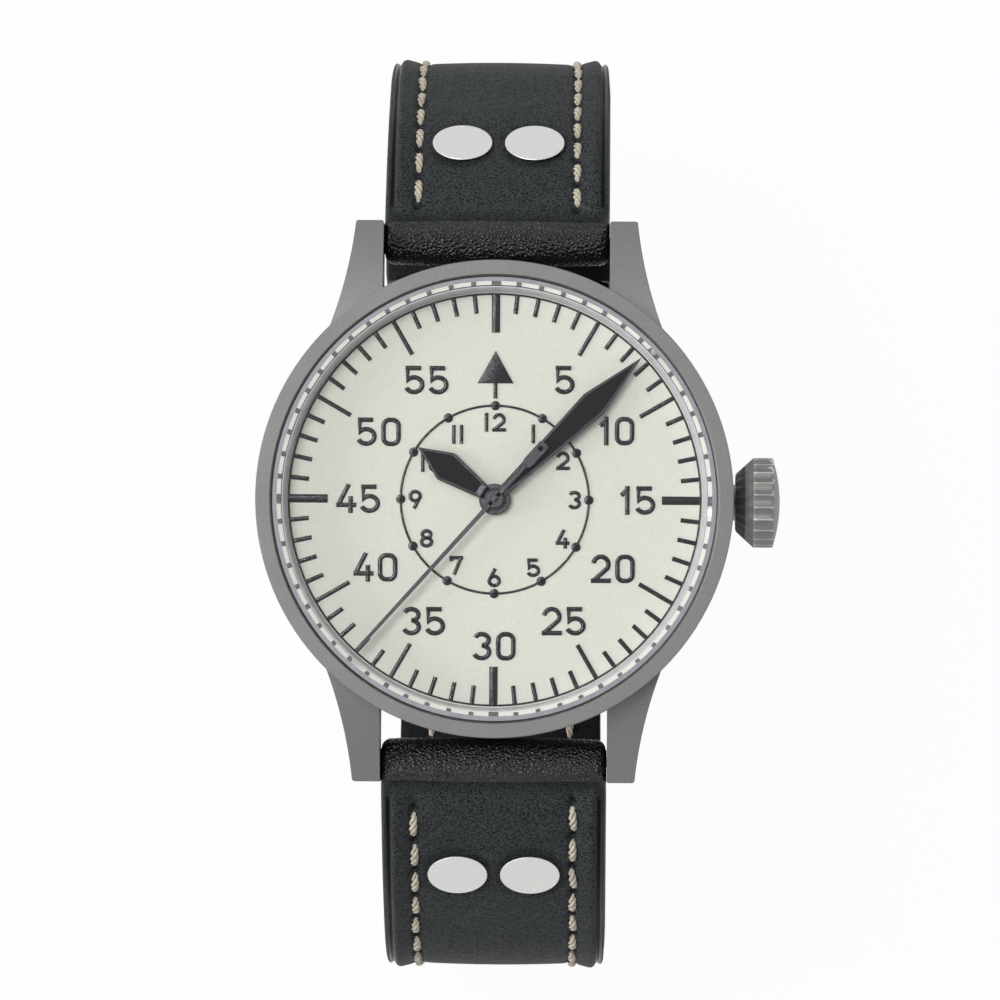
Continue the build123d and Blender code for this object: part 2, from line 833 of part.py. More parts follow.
def cock_shape(grow):
    low, high = bridge_bottom, bridge_top
    pad = disc(cock_radius + grow, low, high, balance_at)
    half_turn = cock_foot_half_turn + degrees(grow / bridge_radius)
    start, end = escape_bearing - half_turn, escape_bearing + half_turn
    foot = sector(bridge_radius, cock_foot_inner - grow, start, end, low, high)
    return (pad + foot) & disc(bridge_radius, low, high)


def bridge_holes(jewel_places, bearings):
    holes = []
    for place in jewel_places:
        holes.append(disc(jewel_radius, bridge_top - jewel_height, bridge_top + overrun, place))
    for bearing in bearings:
        holes.append(disc(screw_shank_radius, bridge_bottom - overrun, bridge_top + overrun,
                          polar(screw_ring_radius, bearing)))
    return holes


def make_barrel_bridge():
    body = disc(bridge_radius, bridge_bottom, bridge_top)
    body &= block(-case_radius, case_radius, bridge_split / 2, case_radius, bridge_bottom, bridge_top)
    body -= disc(centre_pad_radius + bridge_split, bridge_bottom, bridge_top)
    body += disc(crown_pad_radius, bridge_bottom, bridge_top, crown_wheel_at)
    body -= disc(barrel_arbor_radius + running_play, bridge_bottom, bridge_top, barrel_at)
    body -= disc(crown_neck_radius + running_play, bridge_bottom, bridge_top, crown_wheel_at)
    for hole in bridge_holes([], barrel_bridge_bearings):
        body -= hole
    body += disc(click_post_radius, ratchet_bottom, bridge_bottom, click_at)
    return body


def make_train_bridge():
    body = disc(bridge_radius, bridge_bottom, bridge_top)
    body &= block(-case_radius, case_radius, -case_radius, -bridge_split / 2, bridge_bottom, bridge_top)
    body += disc(centre_pad_radius, bridge_bottom, bridge_top)
    body -= cock_shape(bridge_split)
    body -= disc(crown_pad_radius + bridge_split, bridge_bottom, bridge_top, crown_wheel_at)
    for hole in bridge_holes([(0, 0), third_at, escape_at], train_bridge_bearings):
        body -= hole
    body += disc(reversing_post_radius, rotor_top + running_play, bridge_bottom, reversing_at)
    post = disc(rotor_bore_radius - running_play, rotor_web_bottom, bridge_bottom)
    return body + post - disc(screw_shank_radius, rotor_web_bottom - overrun, bridge_bottom)


def make_balance_cock():
    body = cock_shape(0)
    for hole in bridge_holes([balance_at], cock_bearings):
        body -= hole
    stud = polar(hairspring_outer + level_gap + pivot_radius, escape_bearing + 90, balance_at)
    return body + disc(pivot_radius, bridge_top, fourth_bottom + wheel_height, stud)


def lever_posts():
    along = escape_bearing + 90
    return [polar(side * pallet_post_offset, along, lever_at) for side in (1, -1)]


def make_pallet_bridge():
    low, high = lever_bridge_bottom, lever_bridge_bottom + pallet_bridge_height
    strip = Pos(lever_at[0], lever_at[1], (low + high) / 2) * Rot(0, 0, escape_bearing + 90) * Box(
        2 * pallet_post_offset, pallet_bridge_width, high - low
    )
    body = strip - disc(pivot_radius + pivot_play, low - overrun, high + overrun, lever_at)
    for place in lever_posts():
        body += disc(pallet_post_radius, low, plate_bottom, place)
    return body


def jewel(place, low):
    return ring(jewel_radius, pivot_radius + pivot_play, low, low + jewel_height, place)


def make_jewels():
    pieces = [jewel(place, plate_bottom) for place in (third_at, escape_at, lever_at, balance_at)]
    lower = bridge_top - jewel_height
    pieces += [jewel(place, lower) for place in ((0, 0), third_at, escape_at, balance_at)]
    return group(pieces)


def screw(reach, bearing, low, depth):
    place = polar(reach, bearing)
    head = disc(screw_head_radius, low - screw_head_height, low, place)
    return head + disc(screw_shank_radius, low, low + depth, place)


# Train wheels
def make_barrel():
    low, high = third_bottom, barrel_top
    outer = (barrel_teeth / 2 - root_share) * barrel_module
    drum = disc(outer, low, high, barrel_at)
    drum += gear(barrel_teeth, barrel_module, high - barrel_rim_height, high, barrel_at, barrel_bearing + 180)
    drum -= disc(outer - barrel_wall, low + barrel_wall, high + overrun, barrel_at)
    drum -= disc(barrel_arbor_radius + running_play, low - overrun, high + overrun, barrel_at)
    lid = ring(outer - barrel_wall, barrel_arbor_radius + running_play, high - barrel_wall, high, barrel_at)
    return group([drum, lid])


def make_barrel_arbor():
    end = plate_bottom + plate_thickness / 2 - arbor_end_play
    body = disc(barrel_arbor_radius, ratchet_bottom, end, barrel_at)
    return body + disc(barrel_core_radius, third_bottom + barrel_wall + running_play,
                       barrel_top - barrel_wall - running_play, barrel_at)


def make_mainspring():
    outer = (barrel_teeth / 2 - root_share) * barrel_module - barrel_wall - mainspring_strip
    return spiral(barrel_core_radius + mainspring_strip, outer, mainspring_strip, mainspring_turns,
                  third_bottom + barrel_wall + level_gap, barrel_top - barrel_wall - level_gap, barrel_at)


def make_centre_wheel():
    low, high = centre_bottom, centre_bottom + wheel_height
    wheel = gear(centre_teeth, centre_module, low, high, (0, 0), third_bearing)
    rim = centre_teeth * centre_module / 2 * rim_inner_share
    wheel = spoked(wheel, low, high, (0, 0), rim, centre_hub_radius, balance_arm, 2)
    pinion_low = barrel_top - barrel_rim_height - running_play
    wheel += gear(centre_pinion_teeth, barrel_module, pinion_low, low, (0, 0), barrel_bearing, True)
    wheel += disc(centre_arbor_radius, low, hour_hand_bottom)
    return wheel - disc(centre_arbor_bore, pinion_low - overrun, hour_hand_bottom + overrun)


def make_third_wheel():
    low, high = third_bottom, third_bottom + wheel_height
    wheel = gear(third_teeth, third_module, low, high, third_at, third_bearing + 180)
    radius = third_teeth * third_module / 2
    wheel = spoked(wheel, low, high, third_at, radius * rim_inner_share, third_hub_radius, balance_arm, 2)
    pinion_middle = centre_bottom + wheel_height / 2
    wheel += gear(third_pinion_teeth, centre_module, pinion_middle - pinion_face / 2,
                  pinion_middle + pinion_face / 2, third_at, third_bearing + 180, True)
    return wheel + arbor(third_at, bridge_top, plate_bottom)


def make_fourth_wheel():
    low, high = fourth_bottom, fourth_bottom + wheel_height
    wheel = gear(fourth_teeth, fourth_module, low, high, (0, 0), escape_bearing)
    radius = fourth_teeth * fourth_module / 2
    wheel = spoked(wheel, low, high, (0, 0), radius * rim_inner_share, wheel_hub_radius, balance_arm, 2)
    pinion_middle = third_bottom + wheel_height / 2
    wheel += gear(fourth_pinion_teeth, third_module, pinion_middle - pinion_face / 2,
                  pinion_middle + pinion_face / 2, (0, 0), third_bearing, True)
    wheel += disc(seconds_arbor_radius, bridge_top + arbor_end_play, seconds_arbor_top)
    return wheel + disc(pivot_radius, bridge_top - jewel_height + arbor_end_play, low)


def make_escape_wheel():
    low, high = escape_bottom, escape_bottom + wheel_height
    pitch = 360 / escape_teeth
    points = []
    for tooth in range(escape_teeth):
        start = escape_bearing + (tooth + 1 / 2) * pitch
        for share in (escape_heel_share, escape_foot_share):
            points.append(polar(escape_radius * escape_root_share, start + share * pitch, escape_at))
        for share in escape_tip_shares:
            points.append(polar(escape_radius, start + share * pitch, escape_at))
    wheel = plate(points, low, high)
    web = escape_radius * escape_web_share
    wheel = spoked(wheel, low, high, escape_at, web, escape_hub_radius, escape_arm, 2)
    pinion_middle = fourth_bottom + wheel_height / 2
    half = escape_pinion_face / 2
    wheel += gear(escape_pinion_teeth, fourth_module, pinion_middle - half, pinion_middle + half,
                  escape_at, escape_bearing + 180, True)
    return wheel + arbor(escape_at, bridge_top, plate_bottom)


def stone_places():
    reach = escape_radius + stone_play + stone_length / 2
    return [polar(reach, escape_bearing + side * stone_half_turn, escape_at) for side in (1, -1)]


def make_pallet_fork():
    """Lever with two arms that carry the stones and a tail that ends short of the roller pin."""
    low, high = escape_bottom, escape_bottom + wheel_height
    middle = (low + high) / 2
    tail_length = balance_reach - roller_pin_reach - roller_pin_radius - fork_play
    pivot = Pos(lever_at[0], lever_at[1], middle)
    tail = Pos(tail_length / 2, 0, 0) * Box(tail_length, fork_width, wheel_height)
    body = pivot * Rot(0, 0, escape_bearing) * tail + disc(fork_width, low, high, lever_at)
    for side, place in zip((1, -1), stone_places()):
        length = hypot(place[0] - lever_at[0], place[1] - lever_at[1])
        bearing = degrees(atan2(place[1] - lever_at[1], place[0] - lever_at[0]))
        outer_end = stone_length / 2 + fork_width
        body += pivot * Rot(0, 0, bearing) * Pos(length / 2, 0, 0) * Box(length, fork_width, wheel_height)
        seat = Pos(place[0], place[1], middle) * Rot(0, 0, escape_bearing + side * stone_half_turn)
        body += seat * Pos(outer_end / 2, 0, 0) * Box(outer_end, stone_seat_width, wheel_height)
    body -= disc(escape_radius + stone_play, low - overrun, high + overrun, escape_at)
    for stone in stones_list():
        body -= stone
    body += disc(arbor_radius, lever_bridge_bottom + pallet_bridge_height + arbor_end_play,
                 plate_bottom - arbor_end_play, lever_at)
    pivot_end = plate_bottom + jewel_height - arbor_end_play
    return body + disc(pivot_radius, lever_bridge_bottom, pivot_end, lever_at)


def stones_list():
    middle = escape_bottom + wheel_height / 2
    stones = []
    for side, place in zip((1, -1), stone_places()):
        seat = Pos(place[0], place[1], middle) * Rot(0, 0, escape_bearing + side * stone_half_turn)
        stones.append(seat * Box(stone_length, stone_width, wheel_height))
    return stones


def make_balance_wheel():
    low, high = balance_bottom, balance_bottom + balance_height
    wheel = disc(balance_radius, low, high, balance_at)
    inside = balance_radius - balance_rim
    wheel = spoked(wheel, low, high, balance_at, inside, wheel_hub_radius, balance_arm, 2)
    wheel += arbor(balance_at, bridge_top, plate_bottom)
    wheel += disc(hairspring_inner - hairspring_strip, fourth_bottom, low, balance_at)
    wheel += disc(roller_radius, lever_bridge_bottom, lever_bridge_bottom + pallet_bridge_height, balance_at)
    pin = polar(roller_pin_reach, escape_bearing + 180, balance_at)
    return wheel + disc(roller_pin_radius, lever_bridge_bottom, escape_bottom + wheel_height, pin)


# Motion work under the dial
def make_cannon_pinion():
    low = plate_top + running_play
    high = minute_hand_bottom + hand_thickness + running_play
    body = disc(cannon_radius, low, high)
    body += gear(cannon_teeth, cannon_module, low, low + pinion_face, (0, 0), minute_wheel_bearing)
    body -= disc(centre_arbor_radius, low - overrun, hour_hand_bottom)
    return body - disc(centre_arbor_bore, low, high + overrun)


def make_minute_wheel():
    low = plate_top + 2 * running_play
    high = low + wheel_height
    line = minute_wheel_bearing + 180
    wheel = gear(minute_wheel_teeth, cannon_module, low, high, minute_wheel_at, line, True)
    wheel += gear(minute_pinion_teeth, hour_module, high, high + pinion_face, minute_wheel_at, line)
    return wheel - disc(arbor_radius + running_play, low - overrun, high + overrun, minute_wheel_at)


def make_hour_wheel():
    low = plate_top + 2 * running_play + wheel_height + level_gap
    high = low + wheel_height
    wheel = gear(hour_wheel_teeth, hour_module, low, high, (0, 0), minute_wheel_bearing, True)
    wheel += disc(hour_tube_radius, low, hour_hand_bottom + hand_thickness)
    return wheel - disc(cannon_radius + running_play, low - overrun, minute_hand_bottom)


# Winding work
def make_crown_wheel():
    low = ratchet_bottom
    line = crown_wheel_bearing + 180
    wheel = gear(crown_wheel_teeth, winding_module, low, ratchet_top, crown_wheel_at, line)
    top = crown_height - winding_pinion_radius - running_play
    wheel += disc(crown_neck_radius, low, top, crown_wheel_at)
    lower = gear(crown_ring_teeth, winding_module, bridge_top + running_play, top, crown_wheel_at, 0)
    lower -= disc(crown_neck_radius, low, top + overrun, crown_wheel_at)
    return group([wheel, lower])


def make_ratchet_wheel():
    low, high = ratchet_bottom, ratchet_top
    wheel = gear(ratchet_teeth, winding_module, low, high, barrel_at, crown_wheel_bearing, True)
    return wheel - disc(barrel_arbor_radius, low - overrun, high + overrun, barrel_at)


def click_pose(piece):
    """Put a piece drawn at the origin, pointing along X, at the click's post."""
    return Pos(click_at[0], click_at[1], 0) * Rot(0, 0, click_bearing + 90 + click_tilt) * piece


def make_click():
    body = block(0, click_length, -click_width / 2, click_width / 2, ratchet_bottom, ratchet_top)
    body += disc(click_width, ratchet_bottom, ratchet_top)
    body -= disc(click_post_radius + running_play, ratchet_bottom - overrun, ratchet_top + overrun)
    return click_pose(body)


def make_click_spring():
    start = click_width / 2 + running_play
    blade = block(click_length / 2, click_spring_reach, -start - click_spring_width, -start,
                  ratchet_bottom, ratchet_top)
    foot = Pos(click_spring_reach, -start, 0) * disc(click_post_radius, ratchet_bottom, bridge_bottom)
    return click_pose(blade + foot)


# Rotor that winds the mainspring
def make_rotor():
    web = sector(rotor_radius - rotor_weight_width, rotor_bore_radius, rotor_bearing - rotor_spread / 2,
                 rotor_bearing + rotor_spread / 2, rotor_web_bottom, rotor_top)
    weight = sector(rotor_radius, rotor_radius - rotor_weight_width, rotor_bearing - rotor_spread / 2,
                    rotor_bearing + rotor_spread / 2, rotor_bottom, rotor_top)
    body = web + weight + disc(rotor_hub_radius, rotor_web_bottom, rotor_top)
    body += gear(rotor_pinion_teeth, rotor_module, rotor_top, rotor_top + rotor_pinion_height, (0, 0),
                 reversing_bearing)
    return body - disc(rotor_bore_radius, rotor_web_bottom - overrun, bridge_bottom)


def make_rotor_screw():
    head = disc(rotor_screw_radius, rotor_web_bottom - running_play - rotor_screw_height,
                rotor_web_bottom - running_play)
    return head + disc(screw_shank_radius, rotor_web_bottom - running_play, bridge_bottom)


def make_reversing_wheel():
    low = rotor_top + running_play
    line = reversing_bearing + 180
    wheel = gear(reversing_teeth, rotor_module, low, low + wheel_height, reversing_at, line, True)
    bore = reversing_post_radius + running_play
    return wheel - disc(bore, low - overrun, low + wheel_height + overrun, reversing_at)


# Strap. A route is a list of straight runs and turns down the middle line of the leather.
def route_point(side, y, z, tilt):
    """Frame at a point of the strap: X across, Y along, Z out of the outer face."""
    outward = (0, side * sin(radians(tilt)), cos(radians(tilt)))
    return Plane(origin=(0, side * y, z), x_dir=(side, 0, 0), z_dir=outward)


def strap_route(side, legs):
    """Frames along the route, each with its distance from the spring bar."""
    y, z, tilt, travelled = bar_y, bar_height, strap_start_tilt, 0
    frames = [(0, route_point(side, y, z, tilt))]
    for kind, size, turn in legs:
        length = size if kind == "run" else size * radians(turn)
        steps = max(1, round(length / station_step))
        for step in range(steps):
            part = length / steps
            bend = 0 if kind == "run" else turn / steps
            chord = part if kind == "run" else 2 * size * sin(radians(bend / 2))
            heading = tilt + bend / 2
            y += chord * cos(radians(heading))
            z -= chord * sin(radians(heading))
            tilt += bend
            travelled += part
            frames.append((travelled, route_point(side, y, z, tilt)))
    return frames


def between(frames, distance):
    """Frame at any distance along a route, between its two nearest stations."""
    for (start, first), (end, second) in zip(frames, frames[1:]):
        if distance <= end:
            share = (distance - start) / (end - start)
            origin = first.origin + (second.origin - first.origin) * share
            outward = first.z_dir + (second.z_dir - first.z_dir) * share
            return Plane(origin=origin, x_dir=first.x_dir, z_dir=outward)
    return frames[-1][1]


def leather_thickness(distance):
    share = min(distance / strap_taper_length, 1)
    return strap_lug_thickness + (strap_thickness - strap_lug_thickness) * share


def leather_width(distance, length, tip):
    full = lug_gap - 2 * strap_side_play
    share = max(distance - strap_straight_length, 0) / (length - strap_straight_length)
    width = full + (strap_end_width - full) * share
    left = length - distance
    if tip and left < strap_tip_length:
        across = sqrt(max(0, 1 - (1 - left / strap_tip_length) ** 2))
        width = strap_tip_width + (width - strap_tip_width) * across
    return width


def leather(frames, start, end, tip, low_part, high_part):
    """Ruled band between two distances; each face's height is a function of the thickness."""
    length = frames[-1][0]
    stations = {place for place, _ in frames} | {strap_straight_length}
    distances = sorted({start, end} | {place for place in stations if start < place < end})
    if tip:
        distances += [length - strap_tip_length * share for share in tip_station_shares]
        distances = sorted({place for place in distances if start <= place <= end})
    sections = []
    for distance in distances:
        frame = between(frames, distance)
        half = leather_width(distance, length, tip) / 2
        thickness = leather_thickness(distance)
        low, high = low_part(thickness), high_part(thickness)
        corners = [(-half, 0, low), (half, 0, low), (half, 0, high), (-half, 0, high)]
        placed = [frame.from_local_coords(corner) for corner in corners]
        sections.append(Wire.make_polygon(placed, close=True))
    return Solid.make_loft(sections, ruled=True)


def outer_face(thickness):
    return thickness / 2


def inner_face(thickness):
    return -thickness / 2


def lining_face(thickness):
    return -thickness / 2 + lining_thickness


def cross_rod(radius, length, frame):
    """Rod across the strap, centred on a frame."""
    return frame.location * Rot(0, 90, 0) * Cylinder(radius, length)


def square_rod(radius, frame, low, high):
    """Round peg through the leather, square to its faces."""
    return frame.location * disc(radius, low, high)


def make_strap(side, legs, tip, rivet_distance):
    frames = strap_route(side, legs)
    length = frames[-1][0]
    upper = leather(frames, 0, lining_start, False, inner_face, outer_face)
    upper += leather(frames, lining_start, length, tip, lining_face, outer_face)
    lining = leather(frames, lining_start, length, tip, inner_face, lining_face)
    start_frame = frames[0][1]
    upper += cross_rod(strap_lug_thickness / 2, lug_gap - 2 * strap_side_play, start_frame)
    upper -= cross_rod(bar_radius + bar_play, lug_gap + overrun, start_frame)
    reach = strap_lug_thickness
    shanks = []
    for across in (-1, 1):
        frame = between(frames, rivet_distance)
        place = frame.location * Pos(across * rivet_spacing / 2, 0, 0)
        shanks.append(place * disc(rivet_shank_radius, -reach, reach))
    if tip:
        for hole in range(hole_count):
            frame = between(frames, length - first_hole_from_tip - hole * hole_pitch)
            shanks.append(square_rod(hole_radius, frame, -reach, reach))
    else:
        end_frame = frames[-1][1]
        upper += cross_rod(buckle_eye_radius, strap_end_width, end_frame)
        eye = cross_rod(buckle_bar_radius + bar_play, strap_end_width + overrun, end_frame)
        slot_half = tongue_width / 2 + tongue_slot_play
        slot = end_frame.location * block(
            -slot_half, slot_half, -tongue_slot_length, buckle_eye_radius + overrun, -reach, reach
        )
        upper = upper - eye - slot
        lining = lining - cross_rod(buckle_eye_radius, strap_end_width + overrun, end_frame) - slot
    for shank in shanks:
        upper -= shank
        lining -= shank
    return frames, upper, lining


def make_rivets(frames, rivet_distance):
    frame = between(frames, rivet_distance)
    thickness = leather_thickness(rivet_distance)
    pieces = []
    for across in (-1, 1):
        place = frame.location * Pos(across * rivet_spacing / 2, 0, 0)
        rivet = disc(rivet_radius, thickness / 2 + rivet_lift, thickness / 2 + rivet_height)
        rivet += disc(rivet_shank_radius, -thickness / 2, thickness / 2 + rivet_lift)
        pieces.append(place * rivet)
    return group(pieces)


def make_keeper(distance):
    """Leather loop round the upper strap half, with room for the other half's tip."""
    inside = leather_width(distance, upper_length, False) / 2 + keeper_side_play
    thickness = leather_thickness(distance)
    low = -thickness / 2 - keeper_play
    high = thickness / 2 + strap_thickness + 2 * keeper_play
    half = keeper_length / 2
    outside = inside + keeper_wall
    outer = block(-outside, outside, -half, half, low - keeper_wall, high + keeper_wall)
    hole = block(-inside, inside, -half - overrun, half + overrun, low, high)
    return between(upper_frames, distance).location * (outer - hole)


def make_buckle_frame(frame):
    inside = strap_end_width / 2 + buckle_side_play
    outside = inside + buckle_arm_width
    half = buckle_thickness / 2
    body = block(-outside, outside, -buckle_back, buckle_length, -half, half)
    body = fillet(body.edges().filter_by(Axis.Z), buckle_corner)
    body -= block(-inside, inside, -buckle_back - overrun, buckle_length - buckle_crossbar, -half - overrun,
                  half + overrun)
    bar_hole = Rot(0, 90, 0) * Cylinder(buckle_bar_radius, 2 * outside + overrun)
    return frame.location * (body - bar_hole)


def make_buckle_bar(frame):
    outside = strap_end_width / 2 + buckle_side_play + buckle_arm_width
    return frame.location * (Rot(0, 90, 0) * Cylinder(buckle_bar_radius, 2 * outside))


def make_tongue(frame):
    """Tongue on the buckle bar, resting on the crossbar's outer face."""
    rest = buckle_thickness / 2 + running_play
    far = buckle_length + tongue_overhang
    near = buckle_length - buckle_crossbar
    outline = [
        (0, 0, -tongue_thickness / 2),
        (0, near / 2, -tongue_thickness / 2),
        (0, near, rest),
        (0, far, rest),
        (0, far, rest + tongue_thickness / 2),
        (0, near, rest + tongue_thickness),
        (0, near / 2, tongue_thickness / 2),
        (0, 0, tongue_thickness / 2),
    ]
    body = extrude(make_face(Polyline(*outline, close=True)), tongue_width / 2, both=True)
    body += Rot(0, 90, 0) * Cylinder(tongue_hub_radius, tongue_width)
    body -= Rot(0, 90, 0) * Cylinder(buckle_bar_radius + running_play, tongue_width + overrun)
    return frame.location * body


def make_spring_bars():
    pieces = []
    half = lug_gap / 2 - bar_pivot_play
    for side in (1, -1):
        body = rod_along_x(bar_radius, -half, half, bar_height)
        body += rod_along_x(bar_pivot_radius, -half - bar_pivot_length, half + bar_pivot_length, bar_height)
        pieces.append(Pos(0, side * bar_y, 0) * body)
    return group(pieces)


upper_legs = [
    ("turn", shoulder_turn_radius, shoulder_turn),
    ("run", side_run, 0),
    ("turn", side_turn_radius, side_turn),
    ("turn", upper_curl_radius, upper_curl),
    ("run", upper_end_run, 0),
]
lower_legs = [
    ("turn", shoulder_turn_radius, shoulder_turn),
    ("run", side_run, 0),
    ("turn", side_turn_radius, side_turn),
    ("run", lower_drop, 0),
    ("turn", lower_curl_radius, lower_curl),
    ("run", lower_end_run, 0),
]

upper_frames, strap_12, strap_12_lining = make_strap(1, upper_legs, False, upper_rivet_distance)
lower_frames, strap_6, strap_6_lining = make_strap(-1, lower_legs, True, lower_rivet_distance)
buckle_frame_place = upper_frames[-1][1]
upper_length = upper_frames[-1][0]
fixed_keeper_at = upper_length - fixed_keeper_from_bar
free_keeper_at = fixed_keeper_at - free_keeper_from_fixed

hour_hand, hour_hand_inlay = make_framed_hand(
    hour_hand_bottom, hour_hub_radius, hour_tube_radius, hour_hand_neck, hour_hand_widest_at,
    hour_hand_width, hour_hand_reach, hour_inlay_start, hour_hand_turn,
)
minute_hand, minute_hand_inlay = make_framed_hand(
    minute_hand_bottom, minute_hub_radius, cannon_radius, minute_hand_neck, minute_hand_widest_at,
    minute_hand_width, minute_hand_reach, minute_inlay_start, minute_hand_turn,
)
crown_x = case_radius + crown_start
gasket_x = crown_x + crown_gasket_from_face
stem_end = crown_x + crown_pocket + stem_socket
movement_ring = ring(movement_bore - ring_play, movement_radius + ring_play, bridge_bottom, dial_bottom)
stem_hole = rod_along_x(tube_bore_radius, movement_radius - overrun, movement_bore + overrun, crown_height)
movement_ring -= stem_hole
clamp = block(clamp_inner, clamp_outer, -clamp_width / 2, clamp_width / 2,
              bridge_bottom - clamp_thickness, bridge_bottom)
clamp -= disc(screw_shank_radius, bridge_bottom - clamp_thickness - overrun, bridge_bottom + overrun,
              (clamp_screw_at, 0))
for bearing in clamp_bearings:
    movement_ring -= disc(screw_shank_radius, bridge_bottom, bridge_bottom + screw_depth,
                          polar(clamp_screw_at, bearing))
minute_post_top = plate_top + 2 * running_play + wheel_height
hairspring = Pos(balance_at[0], balance_at[1], 0) * spiral(
    hairspring_inner, hairspring_outer, hairspring_strip, hairspring_turns,
    fourth_bottom, fourth_bottom + wheel_height, (0, 0),
)

nodes = {
    "midcase": make_midcase(),
    "bezel": make_bezel(),
    "crystal": make_crystal(),
    "crystal_gasket": ring(bezel_bore, crystal_radius, crystal_bottom, bezel_top - gasket_drop),
    "inner_ring": make_inner_ring(),
    "dial_plate": make_dial(),
    "dial_print": make_print(),
    "case_back": make_case_back(),
    "case_back_gasket": ring(
        back_gasket_radius + back_gasket_width / 2, back_gasket_radius - back_gasket_width / 2,
        back_thickness, back_thickness + back_gasket_height,
    ),
    "crown_tube": tube_along_x(tube_radius, tube_bore_radius, movement_bore + ring_play,
                               crown_x + tube_stick_out),
    "movement_ring": movement_ring,
    "casing_clamps": group(spread(clamp, clamp_bearings)),
    "casing_screws": group([
        screw(clamp_screw_at, bearing, bridge_bottom - clamp_thickness, clamp_thickness + screw_depth)
        for bearing in clamp_bearings
    ]),
    "crown": make_crown(),
    "crown_gasket": tube_along_x(crown_gasket_radius, tube_radius + running_play, gasket_x,
                                 gasket_x + crown_gasket_length),
    "winding_stem": rod_along_x(stem_radius, stem_tip_x, stem_end, crown_height),
    "winding_pinion": make_winding_pinion(),
    "sliding_pinion": tube_along_x(sliding_pinion_radius, stem_radius + running_play, sliding_pinion_x,
                                   sliding_pinion_x + sliding_pinion_length),
    "mainplate": make_mainplate() + disc(arbor_radius, plate_top, minute_post_top, minute_wheel_at),
    "barrel_bridge": make_barrel_bridge(),
    "train_bridge": make_train_bridge(),
    "balance_cock": make_balance_cock(),
    "pallet_bridge": make_pallet_bridge(),
    "jewels": make_jewels(),
    "bridge_screws": group([
        screw(screw_ring_radius, bearing, bridge_bottom, bridge_thickness + screw_depth)
        for bearing in bridge_screw_bearings
    ]),
    "barrel": make_barrel(),
    "barrel_arbor": make_barrel_arbor(),
    "mainspring": make_mainspring(),
    "ratchet_wheel": make_ratchet_wheel(),
    "crown_wheel": make_crown_wheel(),
    "click": make_click(),
    "click_spring": make_click_spring(),
    "centre_wheel": make_centre_wheel(),
    "third_wheel": make_third_wheel(),
    "fourth_wheel": make_fourth_wheel(),
    "escape_wheel": make_escape_wheel(),
    "pallet_fork": make_pallet_fork(),
    "pallet_stones": group(stones_list()),
    "balance_wheel": make_balance_wheel(),
    "hairspring": hairspring,
    "cannon_pinion": make_cannon_pinion(),
    "minute_wheel": make_minute_wheel(),
    "hour_wheel": make_hour_wheel(),
    "hour_hand": hour_hand,
    "hour_hand_inlay": hour_hand_inlay,
    "minute_hand": minute_hand,
    "minute_hand_inlay": minute_hand_inlay,
    "seconds_hand": make_seconds_hand(),
    "rotor": make_rotor(),
    "rotor_screw": make_rotor_screw(),
    "reversing_wheel": make_reversing_wheel(),
    "spring_bars": make_spring_bars(),
    "strap_12": group([strap_12, strap_12_lining]),
    "strap_6": group([strap_6, strap_6_lining]),
    "rivets_12": make_rivets(upper_frames, upper_rivet_distance),
    "rivets_6": make_rivets(lower_frames, lower_rivet_distance),
    "keeper_fixed": make_keeper(fixed_keeper_at),
    "keeper_free": make_keeper(free_keeper_at),
    "buckle_frame": group([make_buckle_frame(buckle_frame_place), make_buckle_bar(buckle_frame_place)]),
    "buckle_tongue": make_tongue(buckle_frame_place),
}

os.makedirs("parts", exist_ok=True)
for name, shape in nodes.items():
    export_step(shape, f"parts/{name}.step")

for name, frame in (("buckle bar", buckle_frame_place), ("lower end", lower_frames[-1][1])):
    print(name, [round(value, 4) for value in frame.origin], [round(value, 4) for value in frame.z_dir],
          [round(value, 4) for value in frame.y_dir])
for name, place in (("third", third_at), ("escape", escape_at), ("lever", lever_at), ("balance", balance_at),
                    ("barrel", barrel_at), ("crown wheel", crown_wheel_at), ("reversing", reversing_at),
                    ("minute wheel", minute_wheel_at), ("click", click_at)):
    print(name, [round(value, 4) for value in place])
print("nodes", len(nodes))
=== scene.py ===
from math import ceil, cos, exp, hypot, pi, radians, sin, sqrt

import bpy
from mathutils import Euler, Matrix, Vector, noise


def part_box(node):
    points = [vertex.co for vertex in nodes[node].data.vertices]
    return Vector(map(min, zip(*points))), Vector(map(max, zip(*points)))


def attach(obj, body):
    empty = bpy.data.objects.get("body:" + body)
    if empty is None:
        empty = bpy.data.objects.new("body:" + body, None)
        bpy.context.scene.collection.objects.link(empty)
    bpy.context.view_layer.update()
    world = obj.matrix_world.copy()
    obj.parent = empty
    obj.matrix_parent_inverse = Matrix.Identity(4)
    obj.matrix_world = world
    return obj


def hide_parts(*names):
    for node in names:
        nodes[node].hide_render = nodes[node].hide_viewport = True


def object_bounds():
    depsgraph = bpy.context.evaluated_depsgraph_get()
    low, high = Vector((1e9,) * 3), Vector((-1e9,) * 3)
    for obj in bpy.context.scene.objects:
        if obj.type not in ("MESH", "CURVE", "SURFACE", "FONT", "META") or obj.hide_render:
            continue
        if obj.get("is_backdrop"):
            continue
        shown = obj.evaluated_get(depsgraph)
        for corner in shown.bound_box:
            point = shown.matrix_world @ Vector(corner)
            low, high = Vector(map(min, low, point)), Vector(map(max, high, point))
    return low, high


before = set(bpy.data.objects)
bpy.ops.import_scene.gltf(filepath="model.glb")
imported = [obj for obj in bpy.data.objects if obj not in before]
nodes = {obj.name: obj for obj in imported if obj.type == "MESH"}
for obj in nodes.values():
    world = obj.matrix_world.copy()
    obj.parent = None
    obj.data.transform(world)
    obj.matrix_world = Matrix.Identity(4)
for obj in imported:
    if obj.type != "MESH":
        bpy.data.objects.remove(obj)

low_corner, high_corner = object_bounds()


